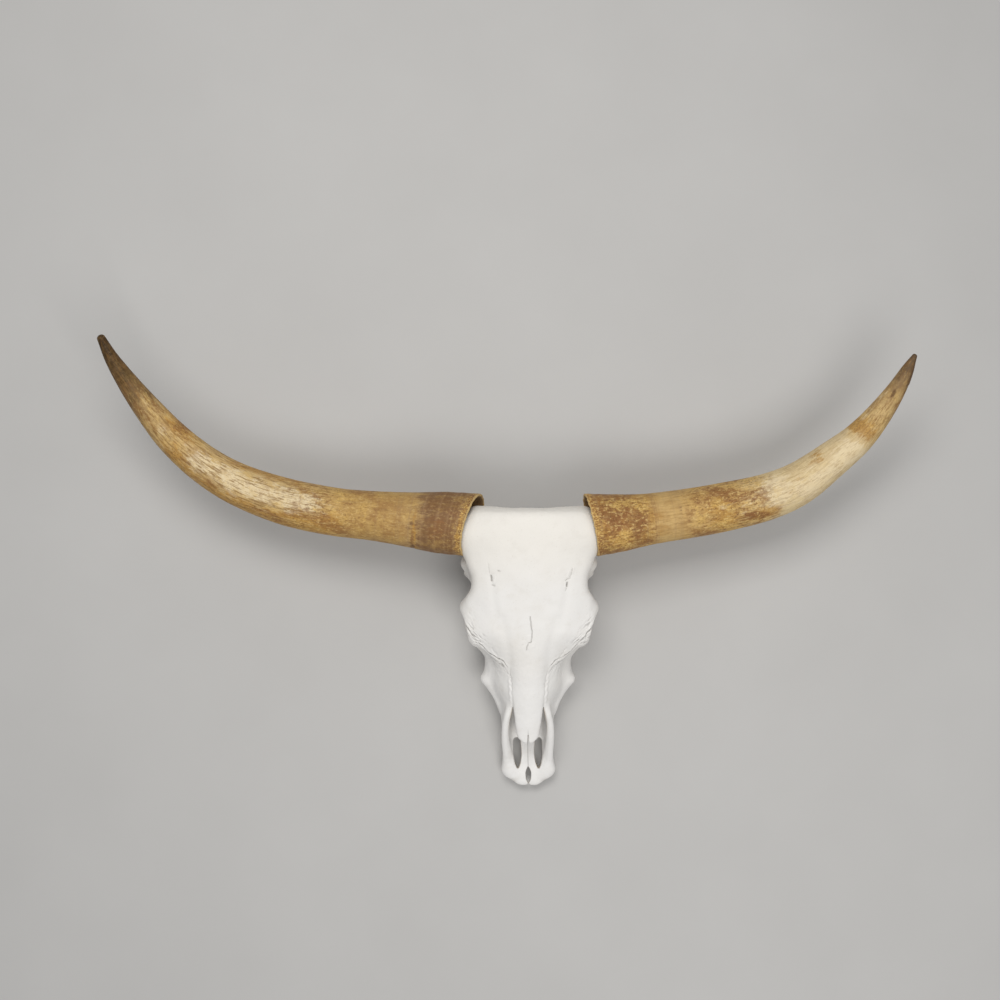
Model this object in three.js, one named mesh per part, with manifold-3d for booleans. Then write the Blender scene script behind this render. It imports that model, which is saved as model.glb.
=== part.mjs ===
// Longhorn steer skull, life size, lying face up on its cheek teeth and the processes beside its condyles.
// Millimetres, +Z up. X runs across the skull and the nose points to -Y. Heights are counted from the
// surface that the skull lies on. Lengths are counted from the poll, so y is negative along the face.
import * as THREE from "three";
import { mergeVertices } from "three/addons/utils/BufferGeometryUtils.js";
import Module from "manifold-3d";

const wasm = await Module();
wasm.setup();

// ---- Driving dimensions -------------------------------------------------------------------------

const NASION = -254; // where the nasal bones meet the frontal bones
const NASAL_TIP = -444;
const GAP = 0.3; // clearance between bones, and between horn and bone
const CELL = 4; // grid pitch that the bone is sampled on
const BONE_TRIANGLES = 4660; // in both halves before the bone is parted
const POLL = [39.9, 115.2, 0]; // the ground under the poll, seen from the middle of the whole part

const TOOTH_ROW = { front: -389, lengths: [17, 19, 19, 25, 30, 34] };
const HORN_WALL = 5;

// ---- Small mathematics --------------------------------------------------------------------------

const clamp = THREE.MathUtils.clamp;
const lerp = THREE.MathUtils.lerp;

// The smaller of two distances, rounded over a width of k where they meet.
function smoothMin(a, b, k) {
  const h = Math.max(k - Math.abs(a - b), 0) / k;
  return Math.min(a, b) - (h * h * k) / 4;
}
const smoothMax = (a, b, k) => -smoothMin(-a, -b, k);

// A smooth function through [position, value] pairs with rising positions, level beyond its ends.
function curve(...points) {
  const slope = points.map((p, i) => {
    const before = points[Math.max(i - 1, 0)];
    const after = points[Math.min(i + 1, points.length - 1)];
    return (after[1] - before[1]) / (after[0] - before[0]);
  });
  return (t) => {
    let i = points.findIndex((p) => p[0] > t);
    if (i === 0) return points[0][1];
    if (i < 0) return points[points.length - 1][1];
    i -= 1;
    const [t0, v0] = points[i];
    const [t1, v1] = points[i + 1];
    const width = t1 - t0;
    const u = (t - t0) / width;
    const bend = u * (1 - u) * width * (slope[i] * (1 - u) - slope[i + 1] * u);
    return lerp(v0, v1, u * u * (3 - 2 * u)) + bend;
  };
}

// ---- Shapes, as distances: negative inside, positive outside ------------------------------------

function ball(centre, radii) {
  const [cx, cy, cz] = centre;
  const [rx, ry, rz] = radii;
  return {
    low: [cx - rx, cy - ry, cz - rz],
    high: [cx + rx, cy + ry, cz + rz],
    at(x, y, z) {
      const [u, v, w] = [(x - cx) / rx, (y - cy) / ry, (z - cz) / rz];
      const near = Math.hypot(u, v, w);
      return (near * (near - 1)) / Math.max(Math.hypot(u / rx, v / ry, w / rz), 1e-6);
    },
  };
}

// A round bar from a to b, tapering from radius ra to rb. flat squeezes its section along each axis.
function bar(a, b, ra, rb, flat = [1, 1, 1]) {
  const from = a.map((v, i) => v / flat[i]);
  const way = b.map((v, i) => v / flat[i] - from[i]);
  const long = way[0] ** 2 + way[1] ** 2 + way[2] ** 2;
  const least = Math.min(...flat);
  const r = Math.max(ra, rb);
  return {
    low: a.map((v, i) => Math.min(v, b[i]) - r * flat[i]),
    high: a.map((v, i) => Math.max(v, b[i]) + r * flat[i]),
    at(x, y, z) {
      const [u, v, w] = [x / flat[0] - from[0], y / flat[1] - from[1], z / flat[2] - from[2]];
      const t = clamp((u * way[0] + v * way[1] + w * way[2]) / long, 0, 1);
      const off = Math.hypot(u - t * way[0], v - t * way[1], w - t * way[2]);
      return (off - lerp(ra, rb, t)) * least;
    },
  };
}

// A round bar along a smooth curve through [x, y, z, radius] points.
function tube(points, flat) {
  const run = [0];
  for (let i = 1; i < points.length; i += 1) {
    const [a, b] = [points[i - 1], points[i]];
    run.push(run[i - 1] + Math.hypot(b[0] - a[0], b[1] - a[1], b[2] - a[2]));
  }
  const lines = [0, 1, 2, 3].map((n) => curve(...points.map((p, i) => [run[i], p[n]])));
  const steps = 4 * (points.length - 1);
  const at = (i) => lines.map((line) => line((run.at(-1) * i) / steps));
  const parts = [];
  for (let i = 0; i < steps; i += 1) {
    const [[ax, ay, az, ra], [bx, by, bz, rb]] = [at(i), at(i + 1)];
    parts.push(bar([ax, ay, az], [bx, by, bz], ra, rb, flat));
  }
  return {
    low: [0, 1, 2].map((n) => Math.min(...parts.map((part) => part.low[n]))),
    high: [0, 1, 2].map((n) => Math.max(...parts.map((part) => part.high[n]))),
    at: (x, y, z) => parts.reduce((least, part) => Math.min(least, part.at(x, y, z)), Infinity),
  };
}

// A ring of radius r round centre, facing along axis, made of a bar of radius thick.
function ring(centre, axis, r, thick) {
  const n = new THREE.Vector3(...axis).normalize();
  const reach = r + thick;
  return {
    low: centre.map((v) => v - reach),
    high: centre.map((v) => v + reach),
    at(x, y, z) {
      const [u, v, w] = [x - centre[0], y - centre[1], z - centre[2]];
      const along = u * n.x + v * n.y + w * n.z;
      const across = Math.sqrt(Math.max(u * u + v * v + w * w - along * along, 0));
      return Math.hypot(across - r, along) - thick;
    },
  };
}

// A box with rounded edges.
function block(centre, half, round) {
  return {
    low: centre.map((v, i) => v - half[i]),
    high: centre.map((v, i) => v + half[i]),
    at(x, y, z) {
      const q = [x, y, z].map((v, i) => Math.abs(v - centre[i]) - half[i] + round);
      const outside = Math.hypot(Math.max(q[0], 0), Math.max(q[1], 0), Math.max(q[2], 0));
      return outside + Math.min(Math.max(...q), 0) - round;
    },
  };
}

// ---- The skull's lines --------------------------------------------------------------------------

// Height of the face along the middle, from nose to poll.
const profile = curve(
  [-450, 96], [-400, 116], [-350, 135], [-300, 152], [NASION, 167], [-190, 183], [-120, 199],
  [-60, 210], [-28, 213], [-12, 208], [0, 192],
);
// Half the width of the forehead's plate, seen from above.
const foreheadWidth = curve(
  [-292, 52], [-276, 70], [-266, 85], [-257, 103], [-247, 114], [-230, 122.5], [-208, 125], [-186, 123.5],
  [-170, 119], [-150, 108], [-128, 107.5], [-105, 116], [-80, 120], [-45, 117], [-18, 111], [-4, 104],
);
// Half the width of the muzzle: at the palate, at CHEEK, where it is widest, and beside the nasal bones.
const muzzleBase = curve(
  [-440, 42], [-402, 44], [-389, 47], [-372, 52], [-340, 65], [-300, 73], [-262, 73], [-235, 64],
);
const muzzleMiddle = curve(
  [-486, 45], [-440, 47.5], [-406, 49], [-390, 50.5], [-381, 52], [-370, 55], [-356, 64], [-342, 72.5],
  [-326, 77.5], [-310, 76.5], [-285, 78], [-262, 82], [-235, 90],
);
const muzzleTop = curve(
  [-440, 44], [-405, 44], [-390, 38], [-374, 32], [-330, 36], [-300, 45], [-280, 58], [-262, 74], [-235, 92],
);
// Half the width of the two nasal bones together.
const nasalWidth = curve(
  [-445, 9], [-440, 13.5], [-435, 17.9], [-428, 20.6], [-409, 23.6], [-390, 26.4], [-370, 28.4],
  [-340, 31], [-296, 35], [-276, 30], [-262, 19], [NASION, 6],
);
const CHEEK = 62;
const NASAL_ARCH = 13; // how far the nasal bones' sides fall below their middle
const NASAL_SHELL = 6.5;
const PALATE = { low: 25, high: 35 };
const FOREHEAD_SHELL = 30; // thickness of the frontal bones with their sinuses

// How far the top falls beside the middle: little on the forehead, more on the nose.
const nasalCrown = (x) => NASAL_ARCH * ((Math.min(x, 33) / 33) ** 2 + (2 * Math.max(x - 33, 0)) / 33);
function crown(x, y) {
  const back = THREE.MathUtils.smoothstep(y, -322, -228);
  return lerp(nasalCrown(x), 27 * (x / 120) ** 2.5, back);
}

function forehead(x, y, z) {
  const roof = profile(y) - crown(x, y);
  const rim = smoothMax((x - foreheadWidth(y)) * 0.9, z - roof, 17);
  const plate = smoothMax(rim, roof - FOREHEAD_SHELL - z, 14);
  return smoothMax(plate, Math.max(y + 3.4 - 0.00015 * x * x, -288 - y), 12);
}

const aboveFace = (x, y, z) => profile(y) - crown(x, y) - z;

function muzzleSide(x, y, z) {
  const below = lerp(muzzleBase(y), muzzleMiddle(y), clamp((z - 30) / (CHEEK - 30), 0, 1));
  const above = clamp((z - CHEEK) / (profile(y) - CHEEK), 0, 1);
  return (x - lerp(below, muzzleTop(y), above)) * 0.86;
}

// The maxillae in front of the orbits. Their front edge slants forwards from the nasal bones to the palate.
function muzzle(x, y, z) {
  const shell = smoothMax(muzzleSide(x, y, z), z - profile(y) + crown(x, y), 14);
  const front = -(y + 378 + (108 - z) * 1.5) * 0.56;
  return smoothMax(smoothMax(shell, PALATE.low + 1 - z, 8), Math.max(front, y + 232), 5);
}

function nasalCavity(x, y, z) {
  const lid = z - profile(y) + crown(x, y) + NASAL_SHELL;
  const wall = smoothMax(muzzleSide(x, y, z) + 6.5, (x - 28 - 0.24 * (z - 32)) * 0.97, 6);
  const shell = smoothMax(smoothMax(wall, lid, 8), PALATE.high - z, 8);
  return smoothMax(shell, y + 318 + (z - 70) ** 2 / 90, 16);
}

function nasalBones(x, y, z) {
  const roof = profile(y) - nasalCrown(x);
  const plate = smoothMax(x - nasalWidth(y), z - roof, 5);
  return smoothMax(smoothMax(plate, roof - NASAL_SHELL - z, 3), NASAL_TIP - y, 3);
}

const shaped = (at, low, high) => ({ at, low, high });

// ---- The bone, one feature after another --------------------------------------------------------

// Each entry adds bone (+1) or takes it away (-1), rounded over blend where it meets the bone before it.
// Features beside the middle are given once, for x > 0.
const features = [];
const add = (shape, blend) => features.push({ ...shape, blend, sign: 1 });
const cut = (shape, blend) => features.push({ ...shape, blend, sign: -1 });
const chain = (points, blend, flat) => add(tube(points, flat), blend);

function braincase() {
  add(shaped(forehead, [-130, -300, 120], [130, 25, 225]), 1);
  add(ball([0, -97, 122], [71, 88, 76]), 16);
  add(ball([0, -46, 138], [88, 34, 62]), 18);
  chain([[20, -50, 100, 38], [78, -62, 100, 29], [108, -82, 94, 17]], 16);
  add(ball([0, -31, 145], [26, 11, 20]), 12); // external occipital protuberance
  chain([[0, -28, 162, 9], [60, -29, 158, 9], [92, -44, 140, 10]], 12); // nuchal line
}

function skullBase() {
  chain([[0, -30, 46, 21], [0, -110, 54, 15], [0, -178, 64, 13]], 10);
  add(ball([15, -76, 38], [10, 13, 8]), 6); // muscular tubercles
  add(ball([28, -26, 55], [19, 21, 27]), 9); // condyles
  cut(bar([0, 30, 68], [0, -70, 84], 20, 17), 6); // foramen magnum
  chain([[70, -44, 84, 17], [66, -42, 44, 11], [60, -44, 4, 8]], 8, [1, 0.8, 1]); // paracondylar processes
  add(ball([47, -86, 46], [12, 20, 20]), 6); // tympanic bullae
  add(bar([42, -104, 40], [36, -124, 24], 5, 3), 5);
  add(bar([62, -86, 68], [104, -92, 70], 11, 9), 7); // ear canals
  add(ball([90, -126, 80], [32, 14, 9]), 9); // seats of the jaw joint
  add(ball([114, -106, 90], [13, 14, 12]), 7);
}

function orbits() {
  add(ball([0, -212, 122], [60, 74, 56]), 20);
  add(ring([108, -218, 112], [0.95, -0.28, 0.1], 36.5, 7), 12);
  chain([[98, -182, 86, 9], [112, -184, 112, 8.5], [113, -186, 136, 11]], 12); // bars behind the orbits
  chain([[113, -110, 90, 11], [97, -148, 85, 10], [96, -190, 80, 11], [98, -225, 80, 13]], 9);
  cut(bar([44, -196, 116], [150, -228, 118], 17, 36), 6);
}

function face() {
  add(shaped(muzzle, [-100, -500, 20], [100, -225, 185]), 16);
  chain([[97, -228, 80, 14], [84, -250, 80, 18], [66, -275, 77, 14.5], [64, -300, 70, 12],
    [73, -324, 62, 9]], 22); // cheekbones
  add(ball([80, -327, 61], [8, 8, 7]), 6); // facial tubers
  chain([[74, -330, 60, 7], [60, -356, 54, 7], [46, -388, 50, 6]], 16);
  chain([[60, -246, 46, 17], [62, -290, 40, 14], [58, -340, 37, 13], [43, -389, 34, 9]], 10); // tooth sockets
  add(ball([55, -238, 58], [17, 20, 28]), 12); // maxillary tubers
  chain([[24, -165, 66, 8], [24, -212, 46, 7], [30, -248, 40, 10]], 8, [0.7, 1, 1]); // pterygoid plates
  add(bar([24, -184, 52], [20, -170, 27], 6, 4), 8);
  cut(bar([0, -196, 40], [0, -258, 48], 15, 15), 6); // choanae
}

// The bar along the side of the nose's opening, from the nasal bones down to the front of the palate.
const NOSE_EDGE = [
  [33, -370, 101, 3], [38, -390, 96.5, 4.8], [41.6, -405, 89, 5.2], [43, -422, 79, 5.4],
  [43.1, -440, 68, 5.4], [42, -458, 56, 5.6], [40.6, -474, 44, 6.4], [39.5, -488, 34, 7.4],
  [38, -502, 26, 8.4],
];
// The long opening through the palate, beside its middle, and the gap between the incisive bones in front.
const PALATINE_FISSURE = [
  [20.5, -450, 30, 6.6], [20, -474, 30, 7.7], [20, -490, 28, 5.4], [20, -501, 26, 1.8],
];
const INCISIVE_GAP = bar([-22.5, -516, -40], [-22.5, -516, 90], 27.9, 27.9);

function muzzleFront() {
  cut(shaped(nasalCavity, [-60, -520, 25], [60, -300, 160]), 4);
  add(shaped(nasalBones, [-40, -450, 70], [40, -250, 170]), 3);
  add(block([0, -372, 30], [42, 78, 5], 4), 6); // hard palate
  chain([[43, -389, 34, 8], [41, -440, 31, 6.5], [38, -486, 27, 8]], 8); // edges between teeth and nose
  chain(NOSE_EDGE, 9);
  chain([[36, -446, 31, 6], [36, -472, 29, 7], [33, -498, 25, 9]], 10);
  add(ball([10, -506, 23], [27, 31, 8.5]), 6); // incisive bones' bodies
  add(ball([35, -506, 25], [14.5, 16, 8.5]), 12);
  chain([[7.5, -505, 24, 7], [6.5, -478, 28, 6], [6.5, -440, 32, 6]], 3); // palatine processes
  cut(tube(PALATINE_FISSURE, [1, 1, 8]), 2.5);
  cut(INCISIVE_GAP, 1);
  cut(bar([0, -533, 24], [0, -545, 24], 0.2, 9, [1, 1, 6]), 1); // notch in front of that gap
  cut(bar([0, -424, 104], [0, -450, 94], 0.3, 2.2, [1, 1, 6]), 1); // notch between the nasal tips
}

// The horn cores. Where the bone before them bulges above the face, it is levelled first.
function hornCores() {
  cut(shaped(aboveFace, [0, -450, 100], [130, -4, 225]), 1);
  add(bar([60, -48, 158], [96, -47, 152], 42, 45, [1, 0.92, 1]), 18);
  add(bar([92, -47, 152], [190, -34, 140], 45, 36, [1, 0.92, 1]), 6);
}

// Half the distance between the tooth rows' middles, which bow outwards.
const toothRow = curve([-389, 43], [-350, 54], [-300, 61], [-262, 60], [-244, 57]);

function teeth() {
  let y = TOOTH_ROW.front;
  TOOTH_ROW.lengths.forEach((length, i) => {
    const middle = y + length / 2;
    const half = i < 3 ? 9 : 11.5;
    add(block([toothRow(middle), middle, 14], [half, length / 2 - 0.6, 20], 4), 3);
    y += length;
  });
}

braincase();
skullBase();
orbits();
face();
hornCores();
teeth();
muzzleFront();

// The distance from a point to the bone's surface. FAR is its value where no feature is near.
const FAR = 25;
function bone(xSigned, y, z) {
  const x = Math.abs(xSigned);
  let d = FAR;
  for (const s of features) {
    const reach = s.blend + 12;
    if (x > s.high[0] + reach || y > s.high[1] + reach || z > s.high[2] + reach) continue;
    if (x < s.low[0] - reach || y < s.low[1] - reach || z < s.low[2] - reach) continue;
    const own = s.at(x, y, z);
    d = s.sign > 0 ? smoothMin(d, own, s.blend) : smoothMax(d, -own, s.blend);
  }
  return d;
}

// ---- From distances to a mesh -------------------------------------------------------------------

// The six tetrahedra of a cell, as corners whose bits are its x, y and z sides.
const TETRAHEDRA = [[0, 1, 3, 7], [0, 5, 1, 7], [0, 3, 2, 7], [0, 2, 6, 7], [0, 4, 5, 7], [0, 6, 4, 7]];

// The closed surface where field is 0, as { places, faces }, sampled from low to high on a grid.
function surfaceOf(field, low, high, cell) {
  const [nx, ny, nz] = low.map((v, i) => Math.ceil((high[i] - v) / cell) + 1);
  const value = new Float32Array(nx * ny * nz);
  const at = (i, j, k) => i + nx * (j + ny * k);
  const place = (n) => {
    const [i, j, k] = [n % nx, Math.floor(n / nx) % ny, Math.floor(n / (nx * ny))];
    return [low[0] + i * cell, low[1] + j * cell, low[2] + k * cell];
  };
  for (let n = 0; n < value.length; n += 1) value[n] = field(...place(n));

  const places = [];
  const faces = [];
  const made = new Map();
  const crossing = (a, b) => {
    const key = a < b ? a * value.length + b : b * value.length + a;
    if (!made.has(key)) {
      const t = clamp(value[a] / (value[a] - value[b]), 0.03, 0.97);
      const [p, q] = [place(a), place(b)];
      made.set(key, places.push(p.map((v, i) => lerp(v, q[i], t))) - 1);
    }
    return made.get(key);
  };
  const face = (a, b, c, turned) => faces.push(turned ? [a, c, b] : [a, b, c]);

  // Puts the corners inside the bone first, and counts the swaps, which turn the faces round.
  const tetrahedron = (corners) => {
    const c = [...corners];
    let turned = false;
    let inside = 0;
    for (let i = 0; i < 4; i += 1) {
      if (value[c[i]] >= 0) continue;
      if (i !== inside) {
        [c[i], c[inside]] = [c[inside], c[i]];
        turned = !turned;
      }
      inside += 1;
    }
    if (inside === 1) {
      face(crossing(c[0], c[1]), crossing(c[0], c[2]), crossing(c[0], c[3]), turned);
    } else if (inside === 3) {
      face(crossing(c[3], c[0]), crossing(c[3], c[1]), crossing(c[3], c[2]), turned);
    } else if (inside === 2) {
      const ring = [[0, 2], [0, 3], [1, 3], [1, 2]].map(([i, j]) => crossing(c[i], c[j]));
      face(ring[0], ring[1], ring[2], turned);
      face(ring[0], ring[2], ring[3], turned);
    }
  };
  const corner = [0, 1, 2, 3, 4, 5, 6, 7].map((b) => at(b & 1, (b >> 1) & 1, (b >> 2) & 1));
  for (let k = 0; k + 1 < nz; k += 1)
    for (let j = 0; j + 1 < ny; j += 1)
      for (let i = 0; i + 1 < nx; i += 1) {
        const n = at(i, j, k);
        const low8 = corner.filter((c) => value[n + c] < 0).length;
        if (low8 === 0 || low8 === 8) continue;
        for (const t of TETRAHEDRA) tetrahedron(t.map((c) => n + corner[c]));
      }
  return { places, faces };
}

// Merges edges, those that change the shape least first, until the mesh has this many triangles.
// Each vertex keeps the sum of its planes' squared distances (Garland and Heckbert's quadrics).
function simplify({ places, faces }, triangles) {
  const near = places.map(() => new Set());
  faces.forEach((f, n) => f.forEach((v) => near[v].add(n)));
  const alive = faces.map(() => true);
  const version = places.map(() => 0);
  const [p, q, r] = [new THREE.Vector3(), new THREE.Vector3(), new THREE.Vector3()];
  const normalOf = (a, b, c) => {
    p.fromArray(a);
    q.fromArray(b).sub(p);
    r.fromArray(c).sub(p);
    return q.cross(r);
  };
  const quadrics = places.map(() => new Float64Array(10));
  for (const f of faces) {
    const n = normalOf(...f.map((v) => places[v]));
    const area = n.length() / 2;
    n.normalize();
    const plane = [n.x, n.y, n.z, -n.dot(p)];
    let m = 0;
    for (let i = 0; i < 4; i += 1)
      for (let j = i; j < 4; j += 1) {
        for (const v of f) quadrics[v][m] += plane[i] * plane[j] * area;
        m += 1;
      }
  }
  const error = (a, [x, y, z]) =>
    a[0] * x * x + 2 * a[1] * x * y + 2 * a[2] * x * z + 2 * a[3] * x + a[4] * y * y + 2 * a[5] * y * z +
    2 * a[6] * y + a[7] * z * z + 2 * a[8] * z + a[9];

  // The best place for the merged vertex: where the summed error is least, if that is near the edge.
  const solve = new THREE.Matrix3();
  const best = (u, v) => {
    const sum = quadrics[u].map((s, i) => s + quadrics[v][i]);
    const middle = places[u].map((s, i) => (s + places[v][i]) / 2);
    const tries = [middle, places[u], places[v]];
    solve.set(sum[0], sum[1], sum[2], sum[1], sum[4], sum[5], sum[2], sum[5], sum[7]);
    if (Math.abs(solve.determinant()) > 1e-3 * (sum[0] + sum[4] + sum[7]) ** 3 / 27) {
      const exact = new THREE.Vector3(-sum[3], -sum[6], -sum[8]).applyMatrix3(solve.invert());
      p.fromArray(middle);
      if (exact.distanceTo(p) < 2 * p.distanceTo(q.fromArray(places[u])) + 1) tries.push(exact.toArray());
    }
    const costs = tries.map((t) => error(sum, t));
    const i = costs.indexOf(Math.min(...costs));
    const length = p.fromArray(places[u]).distanceToSquared(q.fromArray(places[v]));
    return { cost: costs[i] + 1e-3 * length, place: tries[i], sum };
  };

  const heap = [];
  const up = (item) => {
    let i = heap.push(item) - 1;
    while (i > 0) {
      const parent = (i - 1) >> 1;
      if (heap[parent].cost <= item.cost) break;
      heap[i] = heap[parent];
      i = parent;
    }
    heap[i] = item;
  };
  const down = () => {
    const top = heap[0];
    const item = heap.pop();
    if (!heap.length) return top;
    let i = 0;
    for (;;) {
      let child = 2 * i + 1;
      if (child >= heap.length) break;
      if (child + 1 < heap.length && heap[child + 1].cost < heap[child].cost) child += 1;
      if (heap[child].cost >= item.cost) break;
      heap[i] = heap[child];
      i = child;
    }
    heap[i] = item;
    return top;
  };
  const offer = (u, v) => up({ u, v, at: [version[u], version[v]], ...best(u, v) });
  const neighbours = (v) => new Set([...near[v]].flatMap((n) => faces[n]).filter((w) => w !== v));
  places.forEach((_, v) => neighbours(v).forEach((w) => v < w && offer(v, w)));

  const turnsOver = (v, other, target) =>
    [...near[v]].some((n) => {
      if (faces[n].includes(other)) return false;
      const before = normalOf(...faces[n].map((w) => places[w])).clone();
      const after = normalOf(...faces[n].map((w) => (w === v ? target : places[w])));
      return after.dot(before) < 0.25 * after.length() * before.length() || after.length() < 0.2;
    });

  let left = faces.length;
  while (left > triangles && heap.length) {
    const { u, v, at, place, sum } = down();
    if (at[0] !== version[u] || at[1] !== version[v] || !near[u].size || !near[v].size) continue;
    const around = neighbours(u);
    const shared = [...neighbours(v)].filter((w) => around.has(w));
    if (shared.length !== 2 || turnsOver(u, v, place) || turnsOver(v, u, place)) continue;
    for (const n of [...near[v]]) {
      if (faces[n].includes(u)) {
        faces[n].forEach((w) => near[w].delete(n));
        alive[n] = false;
        left -= 1;
      } else {
        faces[n] = faces[n].map((w) => (w === v ? u : w));
        near[u].add(n);
      }
    }
    near[v].clear();
    places[u] = place;
    quadrics[u] = sum;
    version[u] += 1;
    version[v] += 1;
    neighbours(u).forEach((w) => offer(u, w));
  }
  return { places, faces: faces.filter((_, n) => alive[n]) };
}

// ---- Solids -------------------------------------------------------------------------------------

function geometryOf({ places, faces }) {
  const geometry = new THREE.BufferGeometry();
  geometry.setAttribute("position", new THREE.Float32BufferAttribute(places.flat(), 3));
  geometry.setIndex(faces.flat());
  return geometry;
}

function solidOf(geometry) {
  const bare = geometry.clone();
  bare.deleteAttribute("normal");
  bare.deleteAttribute("uv");
  const merged = mergeVertices(bare, 1e-4);
  return new wasm.Manifold(
    new wasm.Mesh({
      numProp: 3,
      vertProperties: new Float32Array(merged.attributes.position.array),
      triVerts: new Uint32Array(merged.index.array),
    }),
  );
}

function geometryOfSolid(solid) {
  const mesh = solid.getMesh();
  const geometry = new THREE.BufferGeometry();
  geometry.setAttribute("position", new THREE.BufferAttribute(new Float32Array(mesh.vertProperties), 3));
  geometry.setIndex(new THREE.BufferAttribute(new Uint32Array(mesh.triVerts), 1));
  return geometry;
}

// A prism whose outline lies in the plane of X and Y, between two heights.
function prismUp(outline, from, to) {
  const shape = new THREE.Shape(outline.map(([x, y]) => new THREE.Vector2(x, y)));
  const geometry = new THREE.ExtrudeGeometry(shape, { depth: to - from, bevelEnabled: false });
  return geometry.translate(0, 0, from);
}

// A prism whose outline lies in the plane of Y and Z, reaching from one x to another.
function prismAcross(outline, from, to) {
  const shape = new THREE.Shape(outline.map(([y, z]) => new THREE.Vector2(y, z)));
  const geometry = new THREE.ExtrudeGeometry(shape, { depth: to - from, bevelEnabled: false });
  const basis = new THREE.Matrix4().makeBasis(
    new THREE.Vector3(0, 1, 0), new THREE.Vector3(0, 0, 1), new THREE.Vector3(1, 0, 0),
  );
  return geometry.applyMatrix4(basis).translate(from, 0, 0);
}

// ---- Horns --------------------------------------------------------------------------------------

// The middle of each horn from its rim to its tip, half its thickness along its length, and how its rim
// slants: lean degrees towards the nose's side, tilt degrees towards the top, start millimetres up the spine.
// Left and right are as seen from above with the nose towards the viewer: -X and +X.
const HORNS = {
  horn_left: {
    side: -1,
    spine: [[86, -36, 150], [150, -31, 147], [214, -26, 142], [292, -18, 137], [357, -11, 133],
      [461, 11, 130], [561, 52, 134], [646, 117, 147], [711, 197, 170], [751, 262, 198], [766, 300, 221]],
    radius: [[0, 58], [0.08, 56.5], [0.16, 50.5], [0.26, 45], [0.4, 44], [0.47, 42.5], [0.6, 37], [0.73, 31],
      [0.8, 26.5], [0.91, 16.8], [0.97, 10.5], [1, 7.5]],
    rim: { lean: 10, tilt: 12, start: 18.2 },
  },
  horn_right: {
    side: 1,
    spine: [[92, -36, 150], [150, -32, 147], [182, -29, 145], [237, -22, 140], [345, -5, 133], [442, 18, 133],
      [497, 42, 137], [554, 84, 145], [608, 131, 158], [662, 208, 184], [689, 269, 211]],
    radius: [[0, 58], [0.08, 53], [0.18, 47], [0.4, 44.5], [0.55, 40.5], [0.68, 33], [0.8, 25.5], [0.9, 17.6],
      [0.96, 11.5], [1, 4.6]],
    rim: { lean: 7.7, tilt: 0.5, start: 19.9 },
  },
};
const HORN_SIDES = 20;
const HORN_RINGS = 22;
const CAVITY = 118; // depth of the hollow that takes the horn core

// A sheath: a lathe profile along its length, bent round its spine and given its slanting rim.
// grow makes it thicker all round, to cut its seat in the bone.
function sheath({ side, spine, radius, rim }, grow = 0) {
  const path = new THREE.CatmullRomCurve3(spine.map(([x, y, z]) => new THREE.Vector3(side * x, y, z)));
  const length = path.getLength();
  const taper = curve(...radius);
  const outer = (s) => taper(s / length) + grow;
  const inner = (s) => outer(s) - HORN_WALL - 2 * grow;
  const outline = [[0, CAVITY], [inner(CAVITY) - 9, CAVITY]];
  for (const s of [CAVITY - 6, 75, 35, -grow]) outline.push([inner(s), s]);
  for (let i = 0; i <= HORN_RINGS; i += 1) {
    const s = i ? (length * i) / HORN_RINGS : -grow;
    outline.push([outer(s), s]);
  }
  const end = outer(length);
  outline.push([end * 0.71, length + end * 0.6], [0, length + end * 0.85]);
  const geometry = new THREE.LatheGeometry(outline.map(([r, s]) => new THREE.Vector2(r, s)), HORN_SIDES);
  const position = geometry.attributes.position;
  const [vertex, along] = [new THREE.Vector3(), new THREE.Vector3()];
  const up = new THREE.Vector3(0, 0, 1);
  for (let i = 0; i < position.count; i += 1) {
    vertex.fromBufferAttribute(position, i);
    const s = vertex.y;
    const share = clamp(s / length, 0, 1);
    path.getTangentAt(share, along);
    const across = new THREE.Vector3().crossVectors(up, along).normalize();
    const front = new THREE.Vector3().crossVectors(along, across);
    // The rim slants: nearer the nose, and nearer the top, it lies further out.
    const slant = clamp(1 - s / 150, 0, 1);
    const nose = side * vertex.x;
    const [lean, tilt] = [rim.lean, rim.tilt].map((angle) => Math.tan(THREE.MathUtils.degToRad(angle)));
    const slide = slant * (nose * lean + vertex.z * tilt + rim.start);
    const beyond = s - share * length;
    const point = path.getPointAt(share).addScaledVector(along, beyond + slide);
    point.addScaledVector(across, -vertex.x).addScaledVector(front, vertex.z);
    position.setXYZ(i, point.x, point.y, point.z);
  }
  return geometry;
}

// ---- Parting the bone into its bones ------------------------------------------------------------

const WIDE = 160;

// The nasal bones lie above a slope that follows the face, inside their own outline. grow widens the cutter.
function nasalCutter(grow) {
  const stations = [-460, -428, -390, -340, -296, -276, -262, NASION];
  const side = stations.map((y) => [nasalWidth(y) + 0.6 + grow, y]);
  side[0][0] = side[1][0];
  const outline = [...side, [0, NASION + 5 + grow], ...side.reverse().map(([x, y]) => [-x, y])];
  const slope = [[-470, profile(-450) - 36], [-400, 96], [-330, 120], [-240, 150]];
  const under = slope.map(([y, z]) => [y, z - grow]);
  return solidOf(prismUp(outline, 40, 220)).intersect(
    solidOf(prismAcross([...under, [-240, 230], [-470, 230]], -WIDE, WIDE)),
  );
}

// The maxillae, lacrimals and cheekbones, in front of the sutures that run from the nasal bones out to the
// orbits' rims. The cut leans back as it goes down, so that all the cheek teeth lie in front of it.
const ORBITAL_SUTURE = {
  level: 140,
  lean: -0.8,
  line: [[34, -326], [36, -306], [46, -288], [70, -276], [82, -260], [98, -235], [120, -208]],
};

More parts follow.
